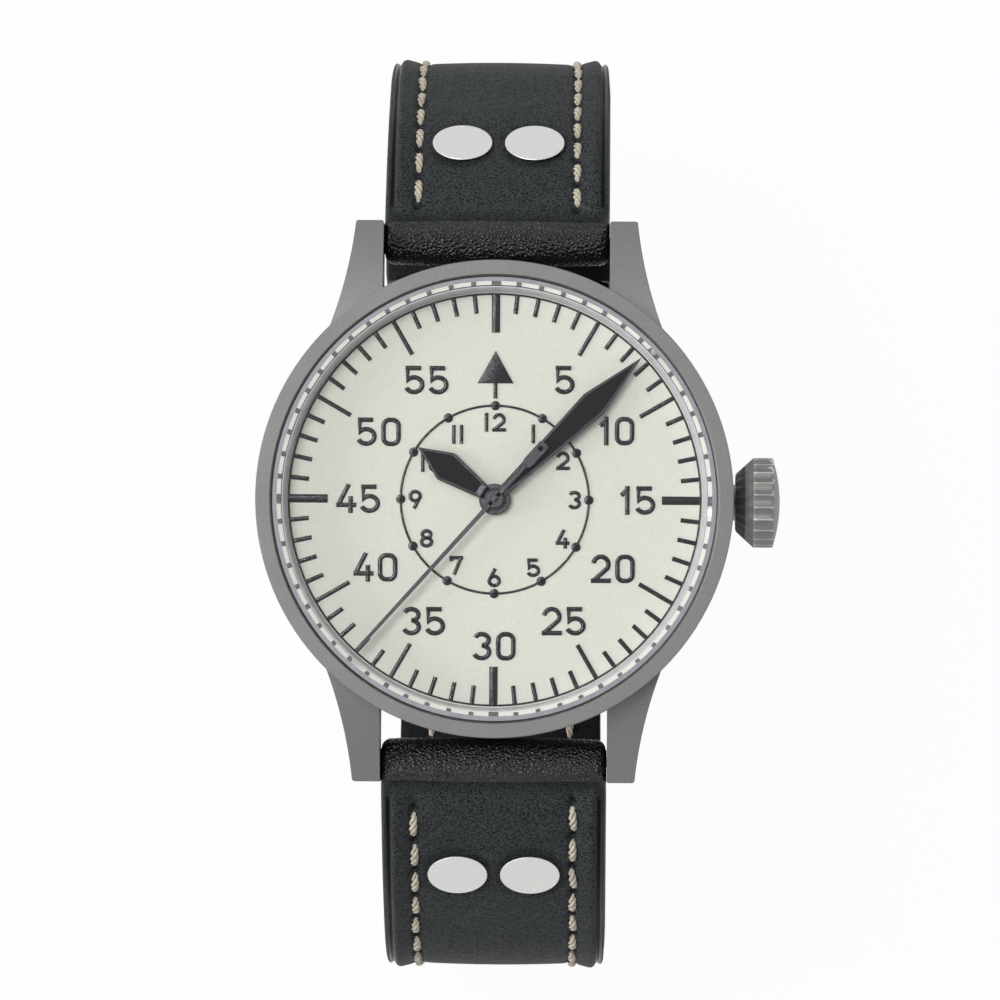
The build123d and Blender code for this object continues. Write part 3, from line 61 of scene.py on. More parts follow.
# Camera: straight down on the dial, moved a little towards six and towards
# three o'clock, with the watch turned a little clockwise in the picture.
bezel_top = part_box("bezel")[1].z
view_distance = 0.8
view_tilt = radians(2.2)
view_lean = radians(0.6)
view_roll = radians(0.4)
picture_width = 0.0877
aim_right = 0.00049
aim_down = 0.00012
sensor = 36.0
farthest_seen = 10.0

camera_data = bpy.data.cameras.new("camera")
camera = bpy.data.objects.new("camera", camera_data)
bpy.context.scene.collection.objects.link(camera)
bpy.context.scene.camera = camera
camera_data.sensor_width = sensor
camera_data.lens = sensor * view_distance / picture_width
camera_data.clip_end = farthest_seen
aim = Vector((aim_right, -aim_down, bezel_top))
turned_view = Matrix.Rotation(view_lean, 3, "Y") @ Euler((view_tilt, 0, view_roll)).to_matrix()
camera.location = aim + turned_view @ Vector((0, 0, view_distance))
camera.rotation_euler = turned_view.to_euler()
bpy.context.scene.view_settings.view_transform = "Standard"


# Floor and light: a pale floor under the strap, white all round, one soft lamp
# above to the left, and a smaller one low on the left that rakes across.
floor_half = 1.2
floor_gap = 0.0002
floor_colour = (0.7, 0.7, 0.7, 1)
floor_glow = 0.96
sky_steps = ((0.1, 0.75), (0.3, 0.8), (0.55, 1.0), (0.88, 0.55), (0.965, 0.1))
room_strength = 0.52
lamps = (
    ("lamp", (-0.29, 0.155, 0.78), 0.42, 4.5),
    ("low_lamp", (-0.70, -0.05, 0.25), 0.25, 2.4),
)

def node(tree, kind, feeds, **settings):
    """New shader node with its settings, each input linked to a socket or set to a value."""
    made = tree.nodes.new("ShaderNode" + kind)
    for name, value in settings.items():
        setattr(made, name, value)
    for name, feed in feeds.items():
        if isinstance(feed, bpy.types.NodeSocket):
            tree.links.new(feed, made.inputs[name])
        else:
            made.inputs[name].default_value = feed
    return made


def seen_directly(tree, *rays):
    """One for the named kinds of ray, and zero for the others."""
    path = node(tree, "LightPath", {})
    total = path.outputs[rays[0]]
    for ray in rays[1:]:
        total = node(tree, "Math", {0: total, 1: path.outputs[ray]}, operation="MAXIMUM").outputs[0]
    return total


def mix_to(output, share, first, second):
    """Surface of an output node: from the first shader to the second with a share."""
    tree = output.id_data
    blend = node(tree, "MixShader", {0: share, 1: first.outputs[0], 2: second.outputs[0]})
    tree.links.new(blend.outputs[0], output.inputs["Surface"])


floor_mesh = bpy.data.meshes.new("floor")
floor_z = low_corner.z - floor_gap
floor_points = [(x * floor_half, y * floor_half, floor_z) for x, y in ((-1, -1), (1, -1), (1, 1), (-1, 1))]
floor_mesh.from_pydata(floor_points, [], [(0, 1, 2, 3)])
floor = bpy.data.objects.new("floor", floor_mesh)
bpy.context.scene.collection.objects.link(floor)
floor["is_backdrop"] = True

floor_paint = bpy.data.materials.new("floor_paint")
floor_paint.use_nodes = True
floor_mesh.materials.append(floor_paint)
tree = floor_paint.node_tree
floor_shader = tree.nodes["Principled BSDF"]
floor_shader.inputs["Base Color"].default_value = floor_colour
floor_shader.inputs["Roughness"].default_value = 1.0
floor_shader.inputs["Specular IOR Level"].default_value = 0.0
in_picture = seen_directly(tree, "Is Camera Ray", "Is Glossy Ray", "Is Transmission Ray")
glow_share = node(tree, "Math", {0: in_picture, 1: floor_glow}, operation="MULTIPLY")
mix_to(tree.nodes["Material Output"], glow_share.outputs[0], floor_shader, node(tree, "Emission", {}))

world = bpy.data.worlds.new("room")
bpy.context.scene.world = world
world.use_nodes = True
tree = world.node_tree
room = tree.nodes["Background"]
direction = node(tree, "TexCoord", {})
height = node(tree, "SeparateXYZ", {0: direction.outputs["Generated"]})
sky = node(tree, "ValToRGB", {"Fac": height.outputs["Z"]})
while len(sky.color_ramp.elements) < len(sky_steps):
    sky.color_ramp.elements.new(1.0)
for step, (level, tone) in zip(sky.color_ramp.elements, sky_steps):
    step.position = level
    step.color = (tone, tone, tone, 1)
tree.links.new(sky.outputs["Color"], room.inputs["Color"])
mirrored = seen_directly(tree, "Is Glossy Ray", "Is Transmission Ray")
room_level = node(tree, "MapRange", {"Value": mirrored, "To Min": room_strength})
tree.links.new(room_level.outputs[0], room.inputs["Strength"])
white = node(tree, "Background", {"Color": (1, 1, 1, 1)})
mix_to(tree.nodes["World Output"], seen_directly(tree, "Is Camera Ray"), room, white)

for lamp_name, lamp_place, lamp_size, lamp_watts in lamps:
    lamp_data = bpy.data.lights.new(lamp_name, "AREA")
    lamp_data.size = lamp_size
    lamp_data.energy = lamp_watts
    lamp = bpy.data.objects.new(lamp_name, lamp_data)
    lamp.location = lamp_place
    lamp.rotation_euler = (aim - Vector(lamp_place)).to_track_quat("-Z", "Y").to_euler()
    bpy.context.scene.collection.objects.link(lamp)


def paint(red, green, blue):
    """A colour as it looks on a screen, 0 to 255, turned into light."""
    shares = [value / 255 for value in (red, green, blue)]
    return tuple(v / 12.92 if v <= 0.04045 else ((v + 0.055) / 1.055) ** 2.4 for v in shares)


def finish(name, colour, metallic, roughness, specular=0.5):
    """New material with its plain values on the shader."""
    made = bpy.data.materials.new(name)
    made.use_nodes = True
    shader = made.node_tree.nodes["Principled BSDF"]
    shader.inputs["Base Color"].default_value = (*colour, 1)
    shader.inputs["Metallic"].default_value = metallic
    shader.inputs["Roughness"].default_value = roughness
    shader.inputs["Specular IOR Level"].default_value = specular
    return made


def speckle(made, size, detail=2.0, stretch=(1, 1, 1), cells=False):
    """Pattern with grains of a real size in metres, stretched along the axes."""
    tree = made.node_tree
    place = node(tree, "TexCoord", {}).outputs["Object"]
    scale = [1 / (size * share) for share in stretch]
    feeds = {"Vector": node(tree, "Mapping", {"Vector": place, "Scale": scale}).outputs[0], "Scale": 1.0}
    if cells:
        return node(tree, "TexVoronoi", feeds).outputs["Distance"]
    return node(tree, "TexNoise", {**feeds, "Detail": detail}).outputs["Fac"]


def feed_to(made, name, socket):
    """Lets a pattern feed one input of the material's shader."""
    made.node_tree.links.new(socket, made.node_tree.nodes["Principled BSDF"].inputs[name])


def fed_by(made, name):
    """The socket that feeds one input of the material's shader so far."""
    return made.node_tree.nodes["Principled BSDF"].inputs[name].links[0].from_socket


def colour_by(made, pattern, dark, light, start=0.3, end=0.7):
    """Base colour that runs from dark to light with a pattern."""
    ramp = node(made.node_tree, "ValToRGB", {"Fac": pattern})
    for step, level, tone in zip(ramp.color_ramp.elements, (start, end), (dark, light)):
        step.position = level
        step.color = (*tone, 1)
    feed_to(made, "Base Color", ramp.outputs["Color"])


def roughness_by(made, pattern, smooth, rough):
    """Roughness that runs from smooth to rough with a pattern."""
    spread = node(made.node_tree, "MapRange", {"Value": pattern, "To Min": smooth, "To Max": rough})
    feed_to(made, "Roughness", spread.outputs[0])


def relief(made, pattern, depth, strength=1.0):
    """Bump of a real depth in metres, laid over any bump already there."""
    bump = node(made.node_tree, "Bump", {"Height": pattern, "Distance": depth, "Strength": strength})
    if made.node_tree.nodes["Principled BSDF"].inputs["Normal"].is_linked:
        made.node_tree.links.new(fed_by(made, "Normal"), bump.inputs["Normal"])
    feed_to(made, "Normal", bump.outputs["Normal"])


def soften(made, radius):
    """Shades sharp edges as if they were rounded by this much."""
    rounding = node(made.node_tree, "Bevel", {"Radius": radius}, samples=4)
    feed_to(made, "Normal", rounding.outputs["Normal"])


def grained(name, light, dark, grain, metallic=0.0, roughness=0.5, specular=0.5, detail=2.0,
            stretch=(1, 1, 1), span=(0.3, 0.7), rounding=None, gloss=None, depth=None):
    """Material whose tone, and where asked its roughness and relief, follow one grain."""
    made = finish(name, light, metallic, roughness, specular)
    if rounding:
        soften(made, rounding)
    pattern = speckle(made, grain, detail, stretch)
    colour_by(made, pattern, dark, light, *span)
    if gloss:
        roughness_by(made, pattern, *gloss)
    if depth:
        relief(made, pattern, depth)
    return made


def dress(made, *names):
    """Gives a material to carried-over nodes."""
    for name in names:
        nodes[name].data.materials.clear()
        nodes[name].data.materials.append(made)


nickel_light = paint(196, 193, 186)
nickel_dark = paint(170, 167, 160)
plate_rounding = 0.00005
stripe_size = 0.0006
brush_size = 0.00005
brush_depth = 0.000004
nickel = finish("brushed_nickel", nickel_light, metallic=1.0, roughness=0.3)
soften(nickel, plate_rounding)
brushed = speckle(nickel, brush_size, stretch=(40, 1, 1))
colour_by(nickel, speckle(nickel, stripe_size, stretch=(1, 60, 60)), nickel_dark, nickel_light)
roughness_by(nickel, brushed, smooth=0.22, rough=0.42)
relief(nickel, brushed, brush_depth)
dress(nickel, "mainplate", "barrel_bridge", "train_bridge", "balance_cock", "pallet_bridge", "rotor",
      "casing_clamps")


# Wheels: stamped from brass sheet, turned on their faces and gilt. They are
# riveted on their arbors, or run free on a post.
brass_light = paint(205, 172, 108)
brass_dark = paint(176, 140, 78)
turning_depth = 0.000003
gilt = finish("gilt_brass", brass_light, metallic=1.0, roughness=0.28)
turning = speckle(gilt, brush_size, stretch=(1, 30, 1))
colour_by(gilt, speckle(gilt, stripe_size), brass_dark, brass_light)
roughness_by(gilt, turning, smooth=0.2, rough=0.4)
relief(gilt, turning, turning_depth)
dress(gilt, "centre_wheel", "third_wheel", "fourth_wheel", "barrel", "minute_wheel", "hour_wheel",
      "balance_wheel", "reversing_wheel")


# Steel parts of the movement: cut from bar or rolled sheet, hardened and
# polished, some with a trace of oil.
polish_depth = 0.000002
polished = grained("polished_steel", paint(178, 180, 184), paint(138, 141, 147), grain=0.0004, metallic=1.0,
                   roughness=0.18, gloss=(0.12, 0.3))
relief(polished, speckle(polished, brush_size), polish_depth)
dress(polished, "escape_wheel", "pallet_fork", "cannon_pinion", "winding_stem", "winding_pinion",
      "sliding_pinion", "crown_wheel", "ratchet_wheel", "barrel_arbor", "click", "click_spring",
      "casing_screws", "bridge_screws", "rotor_screw", "mainspring", "hairspring")


# Jewels and pallet stones: synthetic ruby, ground and polished. The jewels are
# pressed into the plates, and the stones are set in the fork with shellac.
ruby = grained("ruby", paint(190, 30, 70), paint(120, 8, 34), grain=0.0003, roughness=0.05)
dress(ruby, "jewels", "pallet_stones")


# Movement holder: a ring of dark plastic, moulded in one shot, that fills the
# space between the movement and the case.
moulded = grained("moulded_plastic", paint(58, 59, 60), paint(44, 45, 46), grain=0.00012, roughness=0.6,
                  depth=0.00001)
dress(moulded, "movement_ring")


# Midcase and bezel: steel, turned and milled, then blasted with fine glass
# beads to one matt finish. The bezel is painted a darker grey than the
# midcase, as painted shade.
blast_grain = 0.00011
blast_depth = 0.000012
sheen_size = 0.004
case_rounding = 0.00012


def bead_blasted(name, light, dark, rounding):
    """Steel blasted to one matt tone, its edges rounded a little."""
    made = grained(name, light, dark, blast_grain, metallic=1.0, roughness=0.52, detail=3.0,
                   rounding=rounding, depth=blast_depth)
    roughness_by(made, speckle(made, sheen_size), smooth=0.46, rough=0.58)
    return made


# The bezel's darker tone is painted shade; both parts are the same steel.
for name, light, dark in (("bezel", paint(123, 125, 123), paint(109, 111, 109)),
                          ("midcase", paint(137, 139, 137), paint(122, 124, 122))):
    dress(bead_blasted(f"blasted_{name}", light, dark, case_rounding), name)


# Case back, crown tube and spring bars: the same steel, with the satin face
# that a lathe leaves, in fine rings round the middle.
satin_light = paint(172, 173, 172)
satin_dark = paint(146, 147, 146)
satin_rounding = 0.00008
satin_grain = 0.0002
turned_rings = 0.00018
ring_depth = 0.000004
satin = finish("satin_steel", satin_light, metallic=1.0, roughness=0.34)
soften(satin, satin_rounding)
tree = satin.node_tree
ring_feeds = {"Vector": node(tree, "TexCoord", {}).outputs["Object"], "Scale": 1 / turned_rings,
              "Distortion": 2.0, "Detail": 2.0}
rings = node(tree, "TexWave", ring_feeds, wave_type="RINGS", rings_direction="Z").outputs["Fac"]
colour_by(satin, rings, satin_dark, satin_light, start=0.0, end=1.0)
roughness_by(satin, speckle(satin, satin_grain), smooth=0.28, rough=0.42)
relief(satin, rings, ring_depth)
dress(satin, "case_back", "crown_tube", "spring_bars")


# Seals: rubber rings under the case back and in the crown, and the pale
# grey-violet nylon gasket that grips the crystal.
rubber = grained("seal_rubber", paint(50, 51, 53), paint(34, 35, 37), grain=0.0003, roughness=0.55)
dress(rubber, "case_back_gasket", "crown_gasket")
nylon = grained("gasket_nylon", paint(150, 152, 158), paint(138, 140, 146), grain=0.0009, roughness=0.38,
                gloss=(0.32, 0.46))
dress(nylon, "crystal_gasket")


# Inner ring: a thin turned ring that slopes from the crystal's seat down to
# the dial, with a satin coat.
ring_coat = grained("inner_ring_coat", paint(214, 217, 221), paint(198, 201, 205), grain=0.00006,
                    stretch=(1, 1, 60), roughness=0.4, depth=0.000003)
dress(ring_coat, "inner_ring")


# Crystal: a flat sapphire disc with a ground and polished chamfer, through
# which the ends of the minute marks show again as a row of dashes.
def new_piece(name, points, faces, sharp_above=None):
    """Mesh piece from points and faces, smooth except at edges above an angle."""
    mesh = bpy.data.meshes.new(name)
    mesh.from_pydata(points, [], faces)
    mesh.validate()
    mesh.update()
    mesh.shade_smooth()
    if sharp_above is not None:
        mesh.set_sharp_from_angle(angle=radians(sharp_above))
    piece = bpy.data.objects.new(name, mesh)
    bpy.context.scene.collection.objects.link(piece)
    return piece


def add_ring(points, ring):
    """Adds a ring of points to the list and gives back their numbers."""
    points += ring
    return list(range(len(points) - len(ring), len(points)))


def join_rings(rings, closed=False, flipped=False):
    """Faces from each ring of point numbers to the next, where a ring of one point is a tip."""
    faces = []
    for low, high in zip(rings, rings[1:] + (rings[:1] if closed else [])):
        sides = max(len(low), len(high))
        for side in range(sides):
            after = (side + 1) % sides
            corners = [low[side % len(low)], low[after % len(low)], high[after % len(high)],
                       high[side % len(high)]]
            if flipped:
                corners = corners[:1] + corners[:0:-1]
            faces.append(list(dict.fromkeys(corners)))
    return faces


def turned(name, profile, sides, place=lambda x, y, z: (x, y, z), sharp_above=30):
    """Body of revolution: the profile runs from axis to axis, or back to its start."""
    points, rings = [], []
    for radius, height in profile:
        turns = [2 * pi * side / sides for side in range(sides if radius else 1)]
        ring = [place(radius * cos(turn), radius * sin(turn), height) for turn in turns]
        rings.append(add_ring(points, ring))
    return new_piece(name, points, join_rings(rings), sharp_above)


crystal_low, crystal_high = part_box("crystal")
crystal_radius = crystal_high.x
crystal_chamfer = 0.00038
polish_width = 0.00003
crystal_sides = 256
sapphire_bend = 1.77
chamfer_edge = crystal_high.z - crystal_chamfer
crystal = turned("crystal_glass", [
    (0, crystal_low.z),
    (crystal_radius - polish_width, crystal_low.z),
    (crystal_radius, crystal_low.z + polish_width),
    (crystal_radius, chamfer_edge),
    (crystal_radius - crystal_chamfer, crystal_high.z),
    (0, crystal_high.z),
], crystal_sides, sharp_above=20)
sapphire = finish("sapphire", (1.0, 1.0, 1.0), metallic=0.0, roughness=0.0, specular=0.06)
tree = sapphire.node_tree
sapphire_shader = tree.nodes["Principled BSDF"]
sapphire_shader.inputs["Transmission Weight"].default_value = 1.0
sapphire_shader.inputs["IOR"].default_value = sapphire_bend
passing = seen_directly(tree, "Is Shadow Ray", "Is Diffuse Ray")
mix_to(tree.nodes["Material Output"], passing, sapphire_shader, node(tree, "BsdfTransparent", {}))
crystal.data.materials.append(sapphire)
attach(crystal, "case")
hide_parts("crystal")


# Dial: a brass disc under many coats of cream lacquer, rubbed to a fine
# eggshell matt.
lacquer = grained("cream_lacquer", paint(232, 232, 221), paint(224, 224, 212), grain=0.00022, detail=3.0,
                  roughness=0.55, specular=0.3, depth=0.000012)
dress(lacquer, "dial_plate")


# Printed markings: thick black lacquer built up in several passes, so each
# stroke stands proud with rounded shoulders and square ends.
dial_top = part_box("dial_plate")[1].z
print_height = 0.00013
shoulder_shares = ((-1, 0), (-0.93, 0.42), (-0.8, 0.72), (-0.6, 0.91), (-0.34, 1),
                   (0.34, 1), (0.6, 0.91), (0.8, 0.72), (0.93, 0.42), (1, 0))
patch_steps = ((0, 0), (0.06, 0.5), (0.3, 0.85), (1, 1))
arc_step = radians(7)
sharpest_corner = 2.2


class Print:
    """Points and faces of one layer of print."""

    def __init__(self, base, height):
        self.base, self.height = base, height
        self.points, self.faces = [], []

    def line(self, path, width, closed=False):
        """Raised line along a flat path."""
        rings = []
        for step, (x, y) in enumerate(path):
            before = path[step - 1] if step or closed else None
            after = path[(step + 1) % len(path)] if step < len(path) - 1 or closed else None
            ways = []
            for start, end in ((before, (x, y)), ((x, y), after)):
                if start and end:
                    length = hypot(end[0] - start[0], end[1] - start[1])
                    ways.append(((end[0] - start[0]) / length, (end[1] - start[1]) / length))
            way_x = sum(way[0] for way in ways) / len(ways)
            way_y = sum(way[1] for way in ways) / len(ways)
            size = max(hypot(way_x, way_y), 1 / sharpest_corner)
            across_x, across_y = -way_y / size / size, way_x / size / size
            ring = []
            for side, lift in shoulder_shares:
                reach = side * width / 2
                ring.append((x + across_x * reach, y + across_y * reach, self.base + self.height * lift))
            rings.append(add_ring(self.points, ring))
        self.faces += join_rings(rings, closed)
        if not closed:
            self.faces += [rings[0][::-1], rings[-1]]

    def patch(self, outline, shoulder):
        """Raised flat patch with a rounded shoulder, from a convex outline."""
        middle_x = sum(x for x, _ in outline) / len(outline)
        middle_y = sum(y for _, y in outline) / len(outline)
        rings = []
        for inset, lift in patch_steps:
            ring = []
            for x, y in outline:
                share = 1 - inset * shoulder / hypot(x - middle_x, y - middle_y)
                ring.append((middle_x + (x - middle_x) * share, middle_y + (y - middle_y) * share,
                             self.base + self.height * lift))
            rings.append(add_ring(self.points, ring))
        self.faces += join_rings(rings) + [rings[-1], rings[0][::-1]]


def circle_points(radius, sides, centre=(0, 0)):
    """Points of a circle, anticlockwise from three o'clock."""
    turns = [2 * pi * step / sides for step in range(sides)]
    return [(centre[0] + radius * cos(turn), centre[1] + radius * sin(turn)) for turn in turns]


def bearing_point(reach, minutes, centre=(0, 0)):
    """Point at a reach from the centre in the direction of a minute mark."""
    turn = radians(90 - 6 * minutes)
    return (centre[0] + reach * cos(turn), centre[1] + reach * sin(turn))


track_radius = 0.01811
track_line = 0.00018
mark_end = 0.01645
mark_width = 0.0004
five_mark_end = 0.0147
quarter_width = 0.00075
track_sides = 360
track = Print(dial_top, print_height)
track.line(circle_points(track_radius, track_sides), track_line, closed=True)
for minute in range(60):
    inner = five_mark_end if minute % 5 == 0 else mark_end
    width = quarter_width if minute % 15 == 0 else mark_width
    track.line([bearing_point(track_radius, minute), bearing_point(inner, minute)], width)

triangle_apex = 0.0131
triangle_base = 0.01023
triangle_half = 0.0016
triangle_shoulder = 0.0002
stem_end = 0.0089
stem_width = 0.00036
corners = [(-triangle_half, triangle_base), (triangle_half, triangle_base), (0, triangle_apex)]
track.patch(corners, triangle_shoulder)
track.line([(0, triangle_base), (0, stem_end)], stem_width)

hour_circle = 0.00827
hour_line = 0.00022
hour_sides = 180
hour_dot = 0.00042
dot_sides = 24
dot_shoulder = 0.00015
track.line(circle_points(hour_circle, hour_sides), hour_line, closed=True)
for hour in range(12):
    track.patch(circle_points(hour_dot, dot_sides, bearing_point(hour_circle, 5 * hour)), dot_shoulder)


def bow(centre, across, up, start, end):
    """Part of an oval from one bearing to another, in degrees."""
    start, end = radians(start), radians(end)
    steps = ceil(abs(end - start) / arc_step)
    turns = [start + (end - start) * step / steps for step in range(steps + 1)]
    return [(centre[0] + across * cos(turn), centre[1] + up * sin(turn)) for turn in turns]


def digit_strokes(digit, w, h, line):
    """Strokes of a plain numeral in a box w by h between stroke middles, as (path, closed)."""
    half, over = w / 2, line / 2
    top_bow, low_bow = 0.235 * h, 0.265 * h
    bowl = 0.305 * h
    turn = 0.41 * w
    six = [(bow((half, bowl), half, bowl, 0, 360)[:-1], True),
           ([(0.02 * w, 0.36 * h), (0.60 * w, h + over)], False)]
    shapes = {
        "0": [(bow((w - turn, h - turn), turn, turn, 0, 90) + bow((turn, h - turn), turn, turn, 90, 180)
               + bow((turn, turn), turn, turn, 180, 270)
               + bow((w - turn, turn), turn, turn, 270, 360), True)],
        "1": [([(w, -over), (w, h + over)], False), ([(0, 0.70 * h), (w, 0.95 * h)], False)],
        "I": [([(half, -over), (half, h + over)], False)],
        "2": [(bow((half, h - half), half, half, 172, -32) + [(0.04 * w, 0.10 * line)], False),
              ([(-over, 0), (w + over, 0)], False)],
        "3": [(bow((half, h - top_bow), 0.94 * half, top_bow, 158, -90), False),
              (bow((half, low_bow), half, low_bow, 90, -158), False)],
        "4": [([(0.66 * w, h + over), (0, 0.26 * h)], False),
              ([(-over, 0.24 * h), (w + over, 0.24 * h)], False),
              ([(0.79 * w, 0.60 * h), (0.79 * w, -over)], False)],
        "5": [([(0.04 * w - over, h), (0.90 * w, h)], False),
              ([(0.04 * w, h), (0.02 * w, 0.48 * h)]
               + bow((0.45 * w, bowl), 0.55 * w, bowl, 132, -156), False)],
        "6": six,
        "7": [([(-over, h), (w + over, h)], False), ([(0.98 * w, h), (0.30 * w, -over)], False),
              ([(0, h), (0, 0.76 * h)], False)],
        "8": [(bow((half, h - top_bow), 0.86 * half, top_bow, 0, 360)[:-1], True),
              (bow((half, low_bow), half, low_bow, 0, 360)[:-1], True)],
        "9": [([(w - x, h - y) for x, y in path], closed) for path, closed in six],
    }
    return shapes[digit]


one_width = 0.55
one_gap = 1.4


def number(layer, text, centre, height, width, line, gap):
    """Upright number centred on a point. The digit one is narrower, with more room after it."""
    widths = [{"I": line, "1": one_width * width}.get(digit, width) for digit in text]
    x = centre[0] - (sum(widths) + gap * (len(text) - 1)) / 2
    for digit, wide in zip(text, widths):
        for path, closed in digit_strokes(digit, wide - line, height - line, line):
            placed = [(x + line / 2 + px, centre[1] - height / 2 + line / 2 + py) for px, py in path]
            layer.line(placed, line, closed)
        x += wide + (one_gap * gap if digit == "1" else gap)


outer_size = dict(height=0.00253, width=0.00175, line=0.00042, gap=0.00037)
outer_reaches = {5: 0.0122, 10: 0.0122, 15: 0.01245, 20: 0.01205, 25: 0.0123, 30: 0.0129, 35: 0.0124,
                 40: 0.01205, 45: 0.0120, 50: 0.0118, 55: 0.0121}
for minute, reach in outer_reaches.items():
    number(track, str(minute), bearing_point(reach, minute), **outer_size)
inner_size = dict(height=0.00166, width=0.0012, line=0.00033, gap=0.00034)
inner_reach = 0.0069
inner_reaches = {1: 0.0067, 3: 0.0070, 7: 0.0067, 9: 0.0070, 10: 0.00645, 11: 0.0066, 12: 0.0068}
for hour in range(1, 13):
    reach = inner_reaches.get(hour, inner_reach)
    number(track, str(hour).replace("1", "I"), bearing_point(reach, 5 * hour), **inner_size)

dial_print = new_piece("dial_markings", track.points, track.faces, sharp_above=40)
ink = grained("print_lacquer", paint(33, 36, 42), paint(24, 27, 32), grain=0.00012, roughness=0.2,
              depth=0.000008)
dial_print.data.materials.append(ink)
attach(dial_print, "case")
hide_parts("dial_print")


# Hour and minute hands: pressed steel frames with bevelled edges, lacquered
# dark grey, their windows filled with grained black compound. Each is pushed
# on its pipe with a stepped hub.
frame_width = 0.0003
rim_share = 0.3
fill_drop = 0.00005
hand_bevel = 0.00009
hub_edge = 0.00008
hub_sides = 64


def stack(points, outlines, turn=0):
    """Adds flat outlines, turned about the dial's middle, each at its height, as rings of points."""
    return [add_ring(points, [(x * cos(turn) - y * sin(turn), x * sin(turn) + y * cos(turn), z)
                              for x, y in outline]) for outline, z in outlines]


def lozenge(start, neck, widest_at, width, tip):
    """Corners of a lozenge hand that points along Y."""
    return [(-neck / 2, start), (-width / 2, widest_at), (0, tip), (width / 2, widest_at), (neck / 2, start)]


def moved(outline, other):
    """Outline drawn in from its own line towards another of as many corners."""
    return [(x + (ox - x) * rim_share, y + (oy - y) * rim_share) for (x, y), (ox, oy) in zip(outline, other)]


def hand_frame(name, outer, inner, low, high, hub_radius, turn):
    """Frame between two outlines, bevelled towards both, with a stepped round hub."""
    points = []
    outlines = ((outer, low), (outer, high - hand_bevel), (moved(outer, inner), high),
                (moved(inner, outer), high), (inner, high - hand_bevel), (inner, low))
    rings = stack(points, outlines, turn)
    profile = ((0, low), (hub_radius, low), (hub_radius, high - hub_edge), (hub_radius - hub_edge, high),
               (0, high))
    hub = stack(points, [(circle_points(radius, hub_sides if radius else 1), z) for radius, z in profile])
    return new_piece(name, points, join_rings(rings, closed=True) + join_rings(hub), sharp_above=20)


def hand_fill(name, outline, low, high, turn):
    """Flat filling of a hand's window."""
    points = []
    rings = stack(points, [(outline, low), (outline, high)], turn)
    return new_piece(name, points, [rings[0][::-1], rings[1]] + join_rings(rings), sharp_above=20)


hand_lacquer = grained("hand_lacquer", paint(68, 70, 74), paint(56, 58, 62), grain=0.0001, metallic=0.6,
                       roughness=0.34, depth=0.000004)
compound = grained("black_compound", paint(38, 40, 43), paint(10, 11, 13), grain=0.00013, detail=3.0,
                   span=(0.35, 0.75), roughness=0.7, specular=0.12, depth=0.00003)

# Name, body, bearing, reach, widest place, width, neck, window's start, solid tip, hub radius.
hands = (
    ("hour_hand", "hour_group", radians(56.2), 0.0082, 0.0052, 0.00274, 0.0009, 0.0017, 0.0007, 0.00138),
    ("minute_hand", "minute_group", radians(-45.7), 0.0180, 0.0121, 0.00244, 0.00078, 0.0021, 0.0012,
     0.00095),
)
for name, body, turn, reach, widest_at, width, neck, window_start, solid_tip, hub_radius in hands:
    low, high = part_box(name)[0].z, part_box(name)[1].z
    neck_there = neck + (width - neck) * window_start / widest_at
    outer = lozenge(0, neck, widest_at, width, reach)
    window = lozenge(window_start, neck_there - 2 * frame_width, widest_at, width - 2 * frame_width,
                     reach - solid_tip)
    hand = hand_frame(f"{name}_frame", outer, window, low, high, hub_radius, turn)
    hand.data.materials.append(hand_lacquer)
    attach(hand, body)
    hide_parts(name)
    filling = hand_fill(f"{name}_fill", window, low, high - fill_drop, turn)
    filling.data.materials.append(compound)
    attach(filling, body)
    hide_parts(f"{name}_inlay")


# Seconds hand: a fine steel needle with a hub, a thin tail and a pierced
# counterweight, lacquered like the others and pushed on its arbor.
needle_turn = radians(-222.0)
needle_reach = 0.0180
needle_width = 0.00042
needle_tip_width = 0.0003
tail_end = 0.0040
weight_end = 0.0066
weight_width = 0.00095
weight_hole_at = 0.0060
weight_hole = 0.000235
second_hub = 0.0008
pin_radius = 0.00024
pin_lift = 0.00012
needle_bevel = hub_edge / 2
low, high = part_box("seconds_hand")[0].z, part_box("seconds_hand")[1].z

points = []
half, tip_half = needle_width / 2, needle_tip_width / 2
outline = [(-half, -tail_end), (half, -tail_end), (tip_half, needle_reach), (-tip_half, needle_reach)]
ridge = [(x - needle_bevel if x > 0 else x + needle_bevel, y - needle_bevel if y > 0 else y + needle_bevel)
         for x, y in outline]
rings = stack(points, [(outline, low), (outline, high - needle_bevel), (ridge, high)], needle_turn)
faces = join_rings(rings) + [rings[-1], rings[0][::-1]]

hole_sides = 24
weight, hole = [], []
for step in range(hole_sides):
    turn = 2 * pi * (step + 0.5) / hole_sides
    reach = 1 / max(abs(cos(turn)), abs(sin(turn)))
    stretch = weight_end - weight_hole_at if sin(turn) < 0 else weight_hole_at - tail_end
    weight.append((weight_width / 2 * (reach * cos(turn)), -weight_hole_at + reach * sin(turn) * stretch))
    hole.append((weight_hole * cos(turn), -weight_hole_at + weight_hole * sin(turn)))
rings = stack(points, [(weight, low), (weight, high), (hole, high), (hole, low)], needle_turn)
needle = new_piece("seconds_needle", points, faces + join_rings(rings, closed=True), sharp_above=20)
needle.data.materials.append(hand_lacquer)
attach(needle, "seconds_group")
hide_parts("seconds_hand")
pin_top = high + 1.2 * pin_lift
hub = turned("seconds_hub", [
    (0, low), (second_hub, low), (second_hub, high - hub_edge), (second_hub - hub_edge, high),
    (pin_radius + hub_edge, high), (pin_radius + hub_edge, high - hub_edge), (pin_radius, high - hub_edge),
    (pin_radius, high + pin_lift), (pin_radius / 2, pin_top), (0, pin_top),
], hub_sides)
hub.data.materials.append(hand_lacquer)
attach(hub, "seconds_group")


